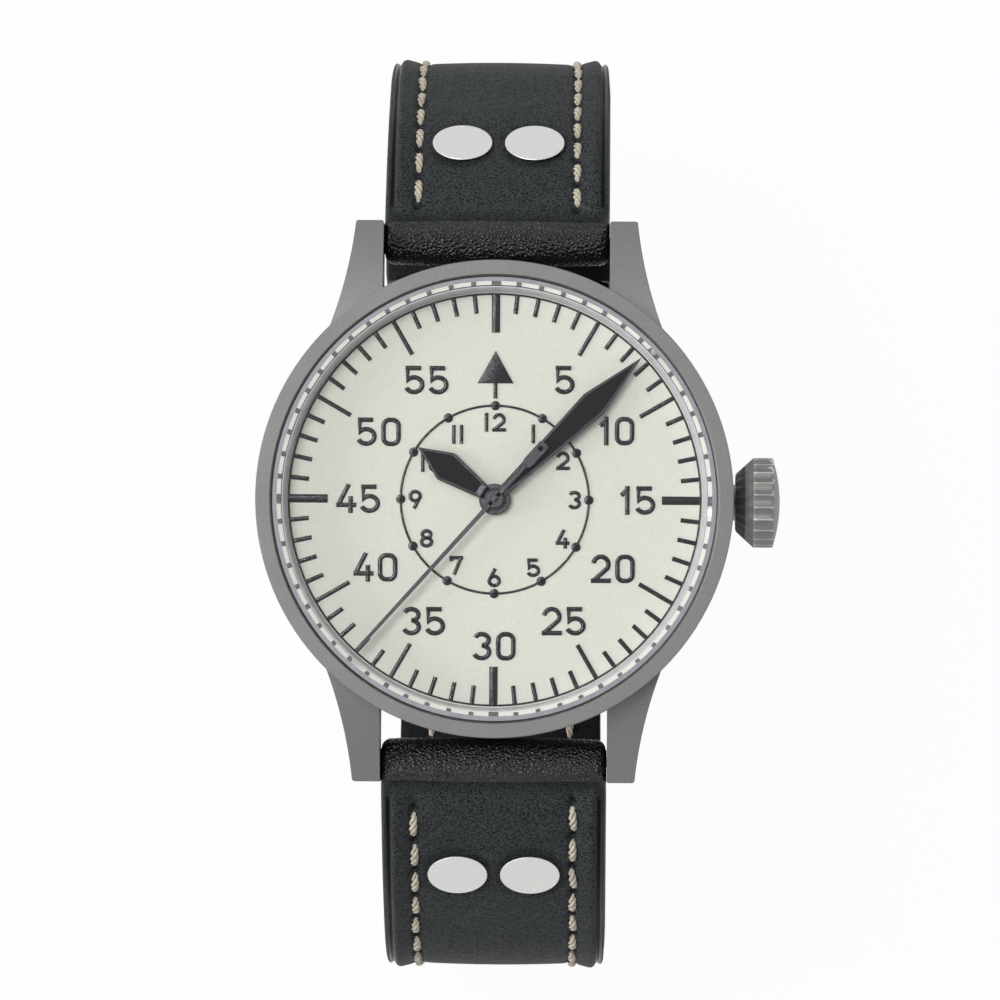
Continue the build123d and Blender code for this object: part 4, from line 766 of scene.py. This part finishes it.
# Crown: turned from steel bar with a cone towards the case, twenty-two
# hollow scallops cut along it and a domed end, then blasted like the case.
crown_low, crown_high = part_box("crown")
crown_middle_z = (crown_low.z + crown_high.z) / 2
crown_radius = (crown_high.z - crown_low.z) / 2
crown_face_radius = 0.0026
cone_length = 0.0016
cap_radius = 0.0124
crown_edge = 0.0002
scallops = 22
scallop_depth = 0.00021
scallop_power = 1.7
sides_each = 16
cone_steps, land_steps, edge_steps, cap_steps = 12, 6, 8, 12
rim_cut, cone_cut, cap_cut = 0.3, 0.6, 0.4
cap_cut_steps = 3
rim_radius = crown_radius - 2 * crown_edge
cap_rise = cap_radius - sqrt(cap_radius**2 - rim_radius**2)
cone_start = crown_low.x + crown_edge / 2
cone_end = crown_low.x + cone_length
land_end = crown_high.x - cap_rise - crown_edge
stations = [(crown_low.x, 0.0, 0.0), (crown_low.x, crown_face_radius - crown_edge, rim_cut),
            (cone_start, crown_face_radius, cone_cut)]
for step in range(1, cone_steps + 1):
    share = step / cone_steps
    stations.append((cone_start + (cone_length - crown_edge / 2) * share,
                     crown_face_radius + (crown_radius - crown_face_radius) * share,
                     cone_cut + (1 - cone_cut) * share))
for step in range(1, land_steps + 1):
    stations.append((cone_end + (land_end - cone_end) * step / land_steps, crown_radius, 1.0))
for step in range(1, edge_steps + 1):
    turn = pi / 2 * step / edge_steps
    stations.append((land_end + crown_edge * sin(turn), rim_radius + 2 * crown_edge * cos(turn),
                     cap_cut + (1 - cap_cut) * cos(turn)))
for step in range(1, cap_steps + 1):
    radius = rim_radius * (1 - step / cap_steps)
    rise = sqrt(cap_radius**2 - radius**2) - sqrt(cap_radius**2 - rim_radius**2)
    stations.append((crown_high.x - cap_rise + rise, radius, cap_cut * max(1 - step / cap_cut_steps, 0)))
points, rings = [], []
sides = scallops * sides_each
for x, radius, cut in stations:
    ring = []
    for side in range(sides if radius > 0 else 1):
        turn = 2 * pi * side / sides
        across = 2 * (side % sides_each) / sides_each - 1
        reach = radius - scallop_depth * cut * (1 - abs(across) ** scallop_power)
        ring.append((x, reach * cos(turn), crown_middle_z + reach * sin(turn)))
    rings.append(add_ring(points, ring))
crown = new_piece("crown_shell", points, join_rings(rings), sharp_above=22)

# The cone's outer half is painted lighter as painted light beyond the bezel's shade; the ridges get painted
# highlights.
lit_cone_rows = (8, 13)
crown_rounding = 0.00003
ridge_highlight_paint = paint(206, 208, 204)
ridge_start = 0.515
ridge_full = 0.56
crown_metal = bead_blasted("blasted_crown", paint(138, 140, 137), paint(124, 126, 123), crown_rounding)
tree = crown_metal.node_tree
# Painted highlights: the colour turns light where the surface is sharpest, along the ridges.
bend = node(tree, "NewGeometry", {}).outputs["Pointiness"]
highlight_mask = node(tree, "MapRange", {"Value": bend, "From Min": ridge_start, "From Max": ridge_full})
painted_highlight = node(tree, "Mix", {"Factor": highlight_mask.outputs[0]}, data_type="RGBA")
painted_highlight.inputs["B"].default_value = (*ridge_highlight_paint, 1)
tree.links.new(fed_by(crown_metal, "Base Color"), painted_highlight.inputs["A"])
feed_to(crown_metal, "Base Color", painted_highlight.outputs["Result"])
# Painted light: the cone's outer rows get a much lighter tone than the rest of the crown.
lit_cone_paint = bead_blasted("blasted_cone_painted_light", paint(206, 208, 205), paint(190, 192, 189), crown_rounding)
crown.data.materials.append(crown_metal)
crown.data.materials.append(lit_cone_paint)
for face in crown.data.polygons:
    if lit_cone_rows[0] <= face.index // sides <= lit_cone_rows[1]:
        face.material_index = 1
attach(crown, "crown_set")
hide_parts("crown")


# Strap leather: two halves of thick black cowhide, wrapped round the spring
# bars, with a pressed channel along each seam and a creased edge. The face is
# grained and the roll glazed; the band along the crease is painted dark as
# painted shade, and the flap and lining are left plain.
bar_low, bar_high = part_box("spring_bars")
bar_radius = 0.0009
bar_y = bar_high.y - bar_radius
bar_z = (bar_low.z + bar_high.z) / 2
lug_gap = 0.020
side_play = 0.0001
straight_length = 0.024
end_width = 0.018
tip_width = 0.0070
tip_length = 0.0090
lug_thickness = 0.0040
strap_thickness = 0.0026
taper_length = 0.045
lining_thickness = 0.0007
lining_start = 0.005
first_tilt = radians(35)
shoulder_turn = (0.038, radians(27))
side_run = 0.0048
side_turn = (0.022, radians(28))
upper_legs = [shoulder_turn, (side_run, None), side_turn, (0.012, radians(100)), (0.0206, None)]
lower_legs = [shoulder_turn, (side_run, None), side_turn, (0.008, None), (0.0229, radians(90)),
              (0.0375, None)]


class StrapHalf:
    """Middle line of one strap half, from its spring bar to its end."""

    def __init__(self, side, legs, tip):
        self.side, self.legs, self.tip = side, legs, tip
        self.length = sum(size if turn is None else size * turn for size, turn in legs)

    def place(self, distance):
        """Origin, way along and way outward at a distance from the bar."""
        y, z, tilt = bar_y, bar_z, first_tilt
        left = distance
        for number, (size, turn) in enumerate(self.legs):
            length = size if turn is None else size * turn
            part = left if number == len(self.legs) - 1 else min(left, length)
            if turn is None:
                y += part * cos(tilt)
                z -= part * sin(tilt)
            else:
                after = tilt + part / size
                y += size * (sin(after) - sin(tilt))
                z += size * (cos(after) - cos(tilt))
                tilt = after
            left -= part
            if left <= 0:
                break
        along = Vector((0, self.side * cos(tilt), -sin(tilt)))
        outward = Vector((0, self.side * sin(tilt), cos(tilt)))
        return Vector((0, self.side * y, z)), along, outward

    def thickness(self, distance):
        """Thickness at a distance, which tapers from the bar."""
        share = min(max(distance, 0) / taper_length, 1)
        return lug_thickness + (strap_thickness - lug_thickness) * share

    def half_width(self, distance):
        """Half of the width, narrower towards the end and rounded at a tip."""
        full = lug_gap - 2 * side_play
        share = max(distance - straight_length, 0) / (self.length - straight_length)
        width = full + (end_width - full) * share
        left = self.length - distance
        if self.tip and left < tip_length:
            across = sqrt(max(0, 1 - (1 - left / tip_length) ** 2))
            width = tip_width + (width - tip_width) * across
        return width / 2


upper_half = StrapHalf(1, upper_legs, False)
lower_half = StrapHalf(-1, lower_legs, True)

row_inset = 0.00285
# First needle hole and pitch, for each half and each row.
seam_rows = {(1, -1): (0.00265, 0.0037), (1, 1): (0.0022, 0.00315),
             (-1, -1): (0.0038, 0.00386), (-1, 1): (0.0030, 0.0039)}
last_stitch_gap = 0.0060
seam_wander = 0.00011
wander_length = 0.004
least_offset = 0.0009
channel_depth = 0.00022
channel_width = 0.00042
hole_depth = 0.0006
hole_size = 0.00036
edge_rise = 0.00040
ridge_inset = 0.00125
crown_rise = 0.00018
crease_inset = 0.00058
crease_width = 0.00024
crease_depth = 0.00045
worked_from, worked_full, worked_end = 0.0010, 0.0030, 0.004
rivet_distances = {1: 0.01045, -1: 0.0116}
rivet_spacing = 0.00645
rivet_radius = 0.00265
dimple_depth = 0.00026
dimple_width = 0.0006
corner_radius = 0.00085
corner_steps = 9
sheet_thickness = 0.0012
bar_hole = 0.00093
wrinkle_size = 0.00050
wrinkle_depth = 0.00004
wrinkle_gain = 1.3
wrinkle_level = 0.5
fine_wrinkle_size = 0.45 * wrinkle_size
fine_wrinkle_gain = 0.35
bend_end = 0.0045
bend_fade = 0.003
mesh_step = 0.00022
flap_steps = 20
roll_steps = 36
wall_steps = 6
wall_bulge = 0.00008
under_shares = (0.6, 0.2, -0.2, -0.6)


def fade(value, start, end):
    """Zero before start, one after end, smooth between."""
    share = min(max((value - start) / (end - start), 0), 1)
    return share * share * (3 - 2 * share)


def seam_places(half, side):
    """Distances of the needle holes along one row of one half."""
    first, pitch = seam_rows[half.side, side]
    count = int((half.length - last_stitch_gap - first) / pitch)
    return [first + hole * pitch for hole in range(count + 1)]


def row_offset(half, distance, side):
    """Distance of a seam from the middle, with the small wander of hand sewing."""
    wander = seam_wander * noise.noise((distance / wander_length, side * 7.0, half.side * 3.0))
    return max(half.half_width(distance) - row_inset + wander, least_offset)


def outer_relief(half, x, distance):
    """How far the outer face stands above its flat middle plane."""
    width = half.half_width(distance)
    row = 1 if x > 0 else -1
    seam = row_offset(half, distance, row)
    worked = fade(distance, worked_from, worked_full) * fade(half.length - distance, 0.0, worked_end)
    off_seam = abs(x) - seam
    height = -channel_depth * exp(-((off_seam / channel_width) ** 2)) * worked
    if off_seam > 0:
        crease = (width - abs(x) - crease_inset) / crease_width
        climb = min(off_seam / (row_inset - ridge_inset), 1)
        height += (edge_rise * climb - crease_depth * exp(-(crease**2))) * worked
    else:
        height += crown_rise * (1 - (x / seam) ** 2)
    first, pitch = seam_rows[half.side, row]
    if distance < half.length - last_stitch_gap + pitch / 2:
        hole = first + max(round((distance - first) / pitch), 0) * pitch
        away = hypot(distance - hole, off_seam) / hole_size
        height -= hole_depth * exp(-(away**2))
    for side in (-1, 1):
        away = hypot(abs(x - side * rivet_spacing / 2), distance - rivet_distances[half.side]) - rivet_radius
        height -= dimple_depth * exp(-((max(away, 0) / dimple_width) ** 2))
    return height


def wrinkle(point, amount):
    """Small cell-like creases where the leather is bent hard."""
    cell = noise.voronoi(Vector(point) / wrinkle_size)[0]
    fine = noise.noise(Vector(point) / fine_wrinkle_size)
    depth = (cell[1] - cell[0]) * wrinkle_gain - wrinkle_level + fine_wrinkle_gain * fine
    return amount * wrinkle_depth * depth


def face_columns(width):
    """Positions across the strap, closer together at the rounded edges."""
    flat = width - corner_radius
    count = ceil(2 * flat / mesh_step)
    inner = [-flat + 2 * flat * n / count for n in range(count + 1)]
    edge = [width - corner_radius * (1 - sin(radians(90 * step / corner_steps)))
            for step in range(1, corner_steps + 1)]
    return [-x for x in reversed(edge)] + inner + edge


def underside(distance, past_bar):
    """Height of the sheet's underside: on the bar's hole, and past it a given height."""
    return sqrt(bar_hole**2 - distance**2) if distance < bar_hole else past_bar


def leather_rows(half):
    """Stations along the folded sheet: origin, way out, face height, underside height, distance, part."""
    rows = []
    for step in range(flap_steps):
        distance = lining_start * (1 - step / flap_steps)
        origin, _, outward = half.place(distance)
        face = half.thickness(distance) / 2
        under = underside(distance, face - sheet_thickness)
        rows.append((origin, -outward, face, under, distance, "flap"))
    origin, along, outward = half.place(0)
    for step in range(roll_steps + 1):
        turn = pi * (1 - step / roll_steps)
        way = outward * cos(turn) - along * sin(turn)
        rows.append((origin, way, lug_thickness / 2, bar_hole, 0, "roll"))
    count = ceil(half.length / mesh_step)
    for step in range(1, count + 1):
        distance = half.length * step / count
        origin, _, outward = half.place(distance)
        face = half.thickness(distance) / 2
        below = sheet_thickness if distance < lining_start else lining_thickness
        rows.append((origin, outward, face, underside(distance, below - face), distance, "outer"))
    return rows


def leather_piece(name, half):
    """The wrapped outer sheet of one half as one closed skin, in four materials, one of them painted shade
    along the crease.
    """
    points, rings = [], []
    widest = half.half_width(0)
    columns_wide = face_columns(widest)
    rows = leather_rows(half)
    for origin, way, face, under, distance, part in rows:
        width = half.half_width(distance)
        scale = width / widest
        bent = fade(bend_end - distance, 0, bend_fade) if part == "outer" else 1.0
        ring = []
        for x_wide in columns_wide:
            x = x_wide * scale
            into = corner_radius - (width - abs(x))
            drop = corner_radius - sqrt(max(corner_radius**2 - into**2, 0)) if into > 0 else 0
            height = face - drop
            if part == "outer":
                height += outer_relief(half, x, distance)
            elif part == "roll":
                height += crown_rise * (1 - (x / width) ** 2)
            point = origin + Vector((x, 0, 0)) + way * height
            if bent > 0 and part != "flap":
                point += way * wrinkle(point, bent)
            ring.append(point)
        side_top = face - corner_radius
        wall = [(wall_bulge * sin(pi * step / wall_steps), side_top + (under - side_top) * step / wall_steps)
                for step in range(1, wall_steps + 1)]
        ring += [origin + Vector((width + bulge, 0, 0)) + way * height for bulge, height in wall]
        ring += [origin + Vector((width * share, 0, 0)) + way * under for share in under_shares]
        ring += [origin + Vector((-width - bulge, 0, 0)) + way * height for bulge, height in wall[::-1]]
        rings.append(add_ring(points, ring))
    piece = new_piece(name, points, join_rings(rings) + [rings[0], rings[-1][::-1]], sharp_above=50)
    finishes = (hide, rolled_hide, crease_shade_paint, under_hide)
    for finish_made in finishes:
        piece.data.materials.append(finish_made)
    for face in piece.data.polygons:
        row, column = divmod(face.index, len(ring))
        if row >= len(rows) - 1:
            continue
        distance, part = rows[row][4:]
        inset = widest - abs(columns_wide[column]) if column < len(columns_wide) else 0
        if part == "flap":
            face.material_index = finishes.index(under_hide)
        elif part == "roll" or distance < rolled_reach:
            face.material_index = finishes.index(rolled_hide)
        # The band along the crease is painted dark as painted shade.
        elif shade_band_from < inset < shade_band_to:
            face.material_index = finishes.index(crease_shade_paint)
    return piece


lining_step = 0.0005
lining_columns = 20
lining_inset = 0.00008
worn_edge = 0.05
worn_rise = 0.0002
lining_groove = 0.00012
groove_width = 0.0004


def lining_piece(name, half):
    """The thin lining glued under one half."""
    points, rings = [], []
    count_long = ceil((half.length - lining_start) / lining_step)
    across = [-1 + n / lining_columns for n in range(2 * lining_columns + 1)]
    for row in range(count_long + 1):
        distance = lining_start + (half.length - lining_start) * row / count_long
        origin, _, outward = half.place(distance)
        width = half.half_width(distance) - lining_inset
        base = -half.thickness(distance) / 2
        ring = []
        for share in across:
            edge = worn_rise * max(abs(share) - (1 - worn_edge), 0) / worn_edge
            seam = row_offset(half, distance, 1 if share > 0 else -1)
            groove = lining_groove * exp(-(((abs(share) * width - seam) / groove_width) ** 2))
            ring.append(origin + Vector((share * width, 0, 0)) + outward * (base + edge + groove))
        for share in reversed(across):
            ring.append(origin + Vector((share * width, 0, 0)) + outward * (base + lining_thickness))
        rings.append(add_ring(points, ring))
    faces = join_rings(rings, flipped=True) + [rings[0][::-1], rings[-1]]
    return new_piece(name, points, faces, sharp_above=50)


hide_dark = paint(16, 18, 19)
hide_light = paint(67, 71, 72)
grain_size = 0.00015
grain_depth = 0.00005
wrinkle_length = 0.0009
handled_size = 0.0012
roll_end = 0.0250
roll_fade = 0.0010
roll_gloss = 0.6
hide = finish("black_hide", hide_light, metallic=0.0, roughness=0.5, specular=0.06)
grain = speckle(hide, grain_size, stretch=(1.2, 0.95, 0.95))
colour_by(hide, grain, hide_dark, hide_light, start=0.36, end=0.58)
roughness_by(hide, speckle(hide, handled_size, detail=4.0), smooth=0.48, rough=0.62)
relief(hide, grain, grain_depth, strength=0.9)
creases = speckle(hide, wrinkle_length, detail=3.0, stretch=(1.6, 0.7, 0.7))
relief(hide, creases, depth=0.00006, strength=0.7)
relief(hide, speckle(hide, size=0.0006, cells=True), depth=0.00005, strength=0.7)
tree = hide.node_tree
on_strap = node(tree, "TexCoord", {}).outputs["Object"]
along_strap = node(tree, "SeparateXYZ", {0: on_strap}).outputs["Y"]
from_dial = node(tree, "Math", {0: along_strap}, operation="ABSOLUTE").outputs[0]
rubbed = node(tree, "MapRange", {"Value": from_dial, "From Min": roll_end, "From Max": roll_end + roll_fade,
                                 "To Min": roll_gloss})
smoothed = node(tree, "Math", {0: fed_by(hide, "Roughness"), 1: rubbed.outputs[0]}, operation="MULTIPLY")
feed_to(hide, "Roughness", smoothed.outputs[0])
tone = node(tree, "MapRange", {"Value": from_dial, "From Min": roll_end - roll_fade,
                               "From Max": roll_end + roll_fade})
stained = node(tree, "Mix", {"Factor": tone.outputs[0]}, data_type="RGBA")
stained.inputs["A"].default_value = (*hide_dark, 1)
tree.links.new(fed_by(hide, "Base Color"), stained.inputs["B"])
feed_to(hide, "Base Color", stained.outputs["Result"])

rolled_reach = 0.0005
rolled_light = paint(16, 18, 22)
rolled_dark = paint(5, 6, 8)
pebble_size = 0.00025
pebble_depth = 0.00018
rolled_hide = finish("rolled_hide", rolled_light, metallic=0.0, roughness=0.26, specular=0.45)
pebbles = speckle(rolled_hide, pebble_size, cells=True)
colour_by(rolled_hide, pebbles, rolled_light, rolled_dark)
roughness_by(rolled_hide, speckle(rolled_hide, handled_size), smooth=0.18, rough=0.3)
relief(rolled_hide, pebbles, pebble_depth)
relief(rolled_hide, speckle(rolled_hide, grain_size, detail=3.0), grain_depth, strength=0.8)

# Painted shade: a dark band over the crease near each edge, where the crease's shade falls.
shade_band_from = 0.00024
shade_band_to = 0.00078
crease_shade_paint = grained("crease_shade_paint", paint(20, 22, 24), paint(8, 9, 10), grain=0.0005, detail=3.0,
                     roughness=0.34, specular=0.3, depth=0.00003)
under_hide = grained("lining_hide", paint(26, 29, 32), paint(15, 17, 19), grain=0.0004, detail=4.0,
                     roughness=0.7, specular=0.1, depth=0.00003)

halves = (("strap_12", "strap_upper", upper_half), ("strap_6", "strap_lower", lower_half))
leathers = {}
for name, body, half in halves:
    outer = leather_piece(f"{name}_leather", half)
    lining = lining_piece(f"{name}_lining", half)
    lining.data.materials.append(under_hide)
    leathers[name] = (outer, lining)


# Holes for the tongue in the lower half, and the slot and bar loop that hold
# the buckle on the upper half, are punched and skived before sewing.
tongue_hole = 0.00095
tongue_hole_sides = 32
hole_pitch = 0.0065
hole_count = 6
first_hole = 0.020
punch_reach = 0.0022
loop_radius = 0.0015
loop_hole = 0.00073
loop_edge = 0.0002
loop_sides = 48
slot_half = 0.0015
slot_length = 0.0036
slot_overrun = 0.003


def punch(piece, cutter):
    """Cuts one closed mesh out of another and keeps the result as the piece's mesh."""
    cut = piece.modifiers.new("punch", "BOOLEAN")
    cut.operation = "DIFFERENCE"
    cut.solver = "EXACT"
    cut.object = cutter
    result = bpy.data.meshes.new_from_object(piece.evaluated_get(bpy.context.evaluated_depsgraph_get()))
    piece.modifiers.clear()
    piece.data = result


def framed(half, distance, x=0.0):
    """Function that places a point drawn with X across, Y along and Z out of the strap."""
    origin, along, outward = half.place(distance)
    return lambda px, py, pz: origin + Vector((x + px, 0, 0)) + along * py + outward * pz


for hole in range(hole_count):
    place = framed(lower_half, lower_half.length - first_hole - hole * hole_pitch)
    cutter = turned("cutter", [(0, -punch_reach), (tongue_hole, -punch_reach), (tongue_hole, punch_reach),
                               (0, punch_reach)], tongue_hole_sides, place)
    for piece in leathers["strap_6"]:
        punch(piece, cutter)
    bpy.data.objects.remove(cutter)

place = framed(upper_half, upper_half.length)
outline = ((-slot_half, -slot_length), (slot_half, -slot_length), (slot_half, slot_overrun),
           (-slot_half, slot_overrun))
cutter = new_piece("cutter", [place(x, y, z) for z in (-punch_reach, punch_reach) for x, y in outline],
                   [(3, 2, 1, 0), (4, 5, 6, 7), (0, 1, 5, 4), (1, 2, 6, 5), (2, 3, 7, 6), (3, 0, 4, 7)])
for piece in leathers["strap_12"]:
    punch(piece, cutter)
bpy.data.objects.remove(cutter)

for name, body, half in halves:
    outer, lining = leathers[name]
    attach(outer, body)
    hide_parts(name)
    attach(lining, body)

loop_half = end_width / 2
for side, label in ((-1, "left"), (1, "right")):
    middle = side * (slot_half + loop_half) / 2
    reach = (loop_half - slot_half) / 2
    def across(x, y, z, middle=middle):
        return place(middle + z, x, y)
    loop = turned(f"buckle_loop_{label}", [
        (loop_hole, -reach), (loop_radius - loop_edge, -reach), (loop_radius, loop_edge - reach),
        (loop_radius, reach - loop_edge), (loop_radius - loop_edge, reach), (loop_hole, reach),
        (loop_hole, -reach),
    ], loop_sides, across)
    loop.data.materials.append(hide)
    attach(loop, "strap_upper")


# Stitches: waxed beige linen thread of three plies, sewn by hand in two rows
# along each half, seen on the leather and on the lining.
ply_radius = 0.00018
ply_offset = 0.00020
plies = 3
ply_turns = 1.35
ply_rings = 22
ply_sides = 8
stitch_gap = 0.0008
stitch_lift = 0.00026
stitch_dive = 0.00042
stitch_lean = 0.00022
lean_length = 0.0017
twist_length = 0.0031
lining_sink = 0.00010
least_spread = 0.15
least_thickness = 0.4
pulled_flat = 0.8


def sewn_rows(name, half, top):
    """All stitches of one half on one face, as one mesh of twisted plies.

    The second and third numbers of a noise place keep the runs of the rows apart.
    """
    points, faces = [], []
    sink = channel_depth if top else lining_sink
    for side in (-1, 1):
        places = seam_places(half, side)
        for start, end in zip(places, places[1:]):
            begin, finish_at = start + stitch_gap / 2, end - stitch_gap / 2
            lean = stitch_lean * noise.noise((start / lean_length, side * 5.0, half.side + 2.0 * top))
            phase = 2 * pi * noise.noise((start / twist_length, side * 9.0, half.side + 4.0))
            for ply in range(plies):
                rings = []
                for ring in range(ply_rings + 1):
                    share = ring / ply_rings
                    distance = begin + (finish_at - begin) * share
                    origin, _, outward = half.place(distance)
                    way = outward if top else -outward
                    x = side * row_offset(half, distance, side) + lean * (2 * share - 1)
                    swell = sin(pi * share) ** 0.5 if 0 < share < 1 else 0
                    base = half.thickness(distance) / 2 - sink
                    height = base + (stitch_lift + stitch_dive) * swell - stitch_dive
                    turn = phase + 2 * pi * (ply / plies + ply_turns * share)
                    spread = ply_offset * (least_spread + (1 - least_spread) * swell)
                    out = height + spread * sin(turn) * pulled_flat
                    middle = origin + Vector((x + spread * cos(turn), 0, 0)) + way * out
                    thick = ply_radius * (least_thickness + (1 - least_thickness) * swell)
                    thread_ring = circle_points(thick, ply_sides)
                    rings.append(add_ring(points, [middle + Vector((px, 0, 0)) + way * pz
                                                   for px, pz in thread_ring]))
                faces += join_rings(rings) + [rings[0][::-1], rings[-1]]
    return new_piece(name, points, faces, sharp_above=60)


thread = grained("waxed_thread", paint(214, 205, 189), paint(168, 156, 138), grain=0.00009, detail=3.0,
                 stretch=(1, 3, 3), roughness=0.5, specular=0.4, depth=0.00002)
for name, body, half in halves:
    for top, label in ((True, "outer"), (False, "inner")):
        stitches = sewn_rows(f"{name}_stitches_{label}", half, top)
        stitches.data.materials.append(thread)
        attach(stitches, body)


# Rivets: flat steel heads, matt on the face, closed through the leather
# beside each spring bar to hold the fold.
head_low = 0.00005
head_high = 0.00036
head_edge = 0.00004
head_undercut = 0.00035
shank_radius = 0.0008
shank_overrun = 0.0001
head_sides = 96
rivet_metal = grained("rivet_metal", paint(229, 229, 227), paint(215, 215, 213), grain=0.00016, detail=4.0,
                      metallic=1.0, roughness=0.5, gloss=(0.42, 0.6), depth=0.00001)
for name, body, half in (("rivets_12", "strap_upper", upper_half), ("rivets_6", "strap_lower", lower_half)):
    rivet_distance = rivet_distances[half.side]
    thick = half.thickness(rivet_distance) / 2
    points, faces = [], []
    for side in (-1, 1):
        place = framed(half, rivet_distance, side * rivet_spacing / 2)
        head = turned("head", [
            (0, -thick - shank_overrun), (shank_radius, -thick - shank_overrun),
            (shank_radius, thick + head_low), (rivet_radius - head_undercut, thick + head_low),
            (rivet_radius, thick + head_high - 2 * head_edge), (rivet_radius, thick + head_high - head_edge),
            (rivet_radius - head_edge, thick + head_high), (0, thick + head_high),
        ], head_sides, place)
        first = len(points)
        points += [vertex.co.copy() for vertex in head.data.vertices]
        faces += [[first + corner for corner in face.vertices] for face in head.data.polygons]
        bpy.data.objects.remove(head)
    rivets = new_piece(f"{name}_heads", points, faces, sharp_above=30)
    rivets.data.materials.append(rivet_metal)
    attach(rivets, body)
    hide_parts(name)


# Keepers: two loops of the same leather near the buckle, one sewn fast and
# one left to slide.
keeper_wall = 0.0011
keeper_length = 0.0040
keeper_side_play = 0.0003
keeper_play = 0.0002
fixed_from_bar = 0.0083
free_from_fixed = 0.0103
keeper_corner = 0.0012
keeper_corner_steps = 8
band_sides = 32
band_squareness = 0.35
band_belly = 0.12
keepers = (
    ("keeper_fixed", "strap_upper", upper_half.length - fixed_from_bar),
    ("keeper_free", "keeper_loose", upper_half.length - fixed_from_bar - free_from_fixed),
)
for name, body, distance in keepers:
    place = framed(upper_half, distance)
    inside = upper_half.half_width(distance) + keeper_side_play
    thick = upper_half.thickness(distance)
    low = -thick / 2 - keeper_play
    high = thick / 2 + strap_thickness + 2 * keeper_play
    across, tall = inside + keeper_wall / 2, (high - low) / 2 + keeper_wall / 2
    middle_z = (low + high) / 2
    line = []
    for corner, (sx, sz) in enumerate(((1, 1), (-1, 1), (-1, -1), (1, -1))):
        for step in range(keeper_corner_steps + 1):
            turn = radians(90 * corner + 90 * step / keeper_corner_steps)
            line.append((sx * (across - keeper_corner) + keeper_corner * cos(turn),
                         sz * (tall - keeper_corner) + keeper_corner * sin(turn), cos(turn), sin(turn)))
    band = []
    for x, z in circle_points(1, band_sides):
        px = abs(x) ** band_squareness * (1 if x > 0 else -1)
        pz = abs(z) ** band_squareness * (1 if z > 0 else -1)
        band.append((px * keeper_length / 2, pz * keeper_wall / 2 * (1 - band_belly * px * px)))
    points = []
    rings = [add_ring(points, [place(x + nx * out, wide, middle_z + z + nz * out) for wide, out in band])
             for x, z, nx, nz in line]
    keeper = new_piece(f"{name}_loop", points, join_rings(rings, closed=True), sharp_above=50)
    keeper.data.materials.append(hide)
    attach(keeper, body)
    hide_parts(name)


# Buckle and tongue: cast steel, satin finished, carried on a bar through the
# end of the upper half.
buckle_metal = grained("buckle_metal", paint(176, 177, 176), paint(150, 151, 150), grain=0.00006,
                       stretch=(30, 1, 1), metallic=1.0, roughness=0.36, rounding=0.0002, gloss=(0.28, 0.46),
                       depth=0.000005)
dress(buckle_metal, "buckle_frame", "buckle_tongue")


# Box round the made watch, taken again once everything is built.
low_corner, high_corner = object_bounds()
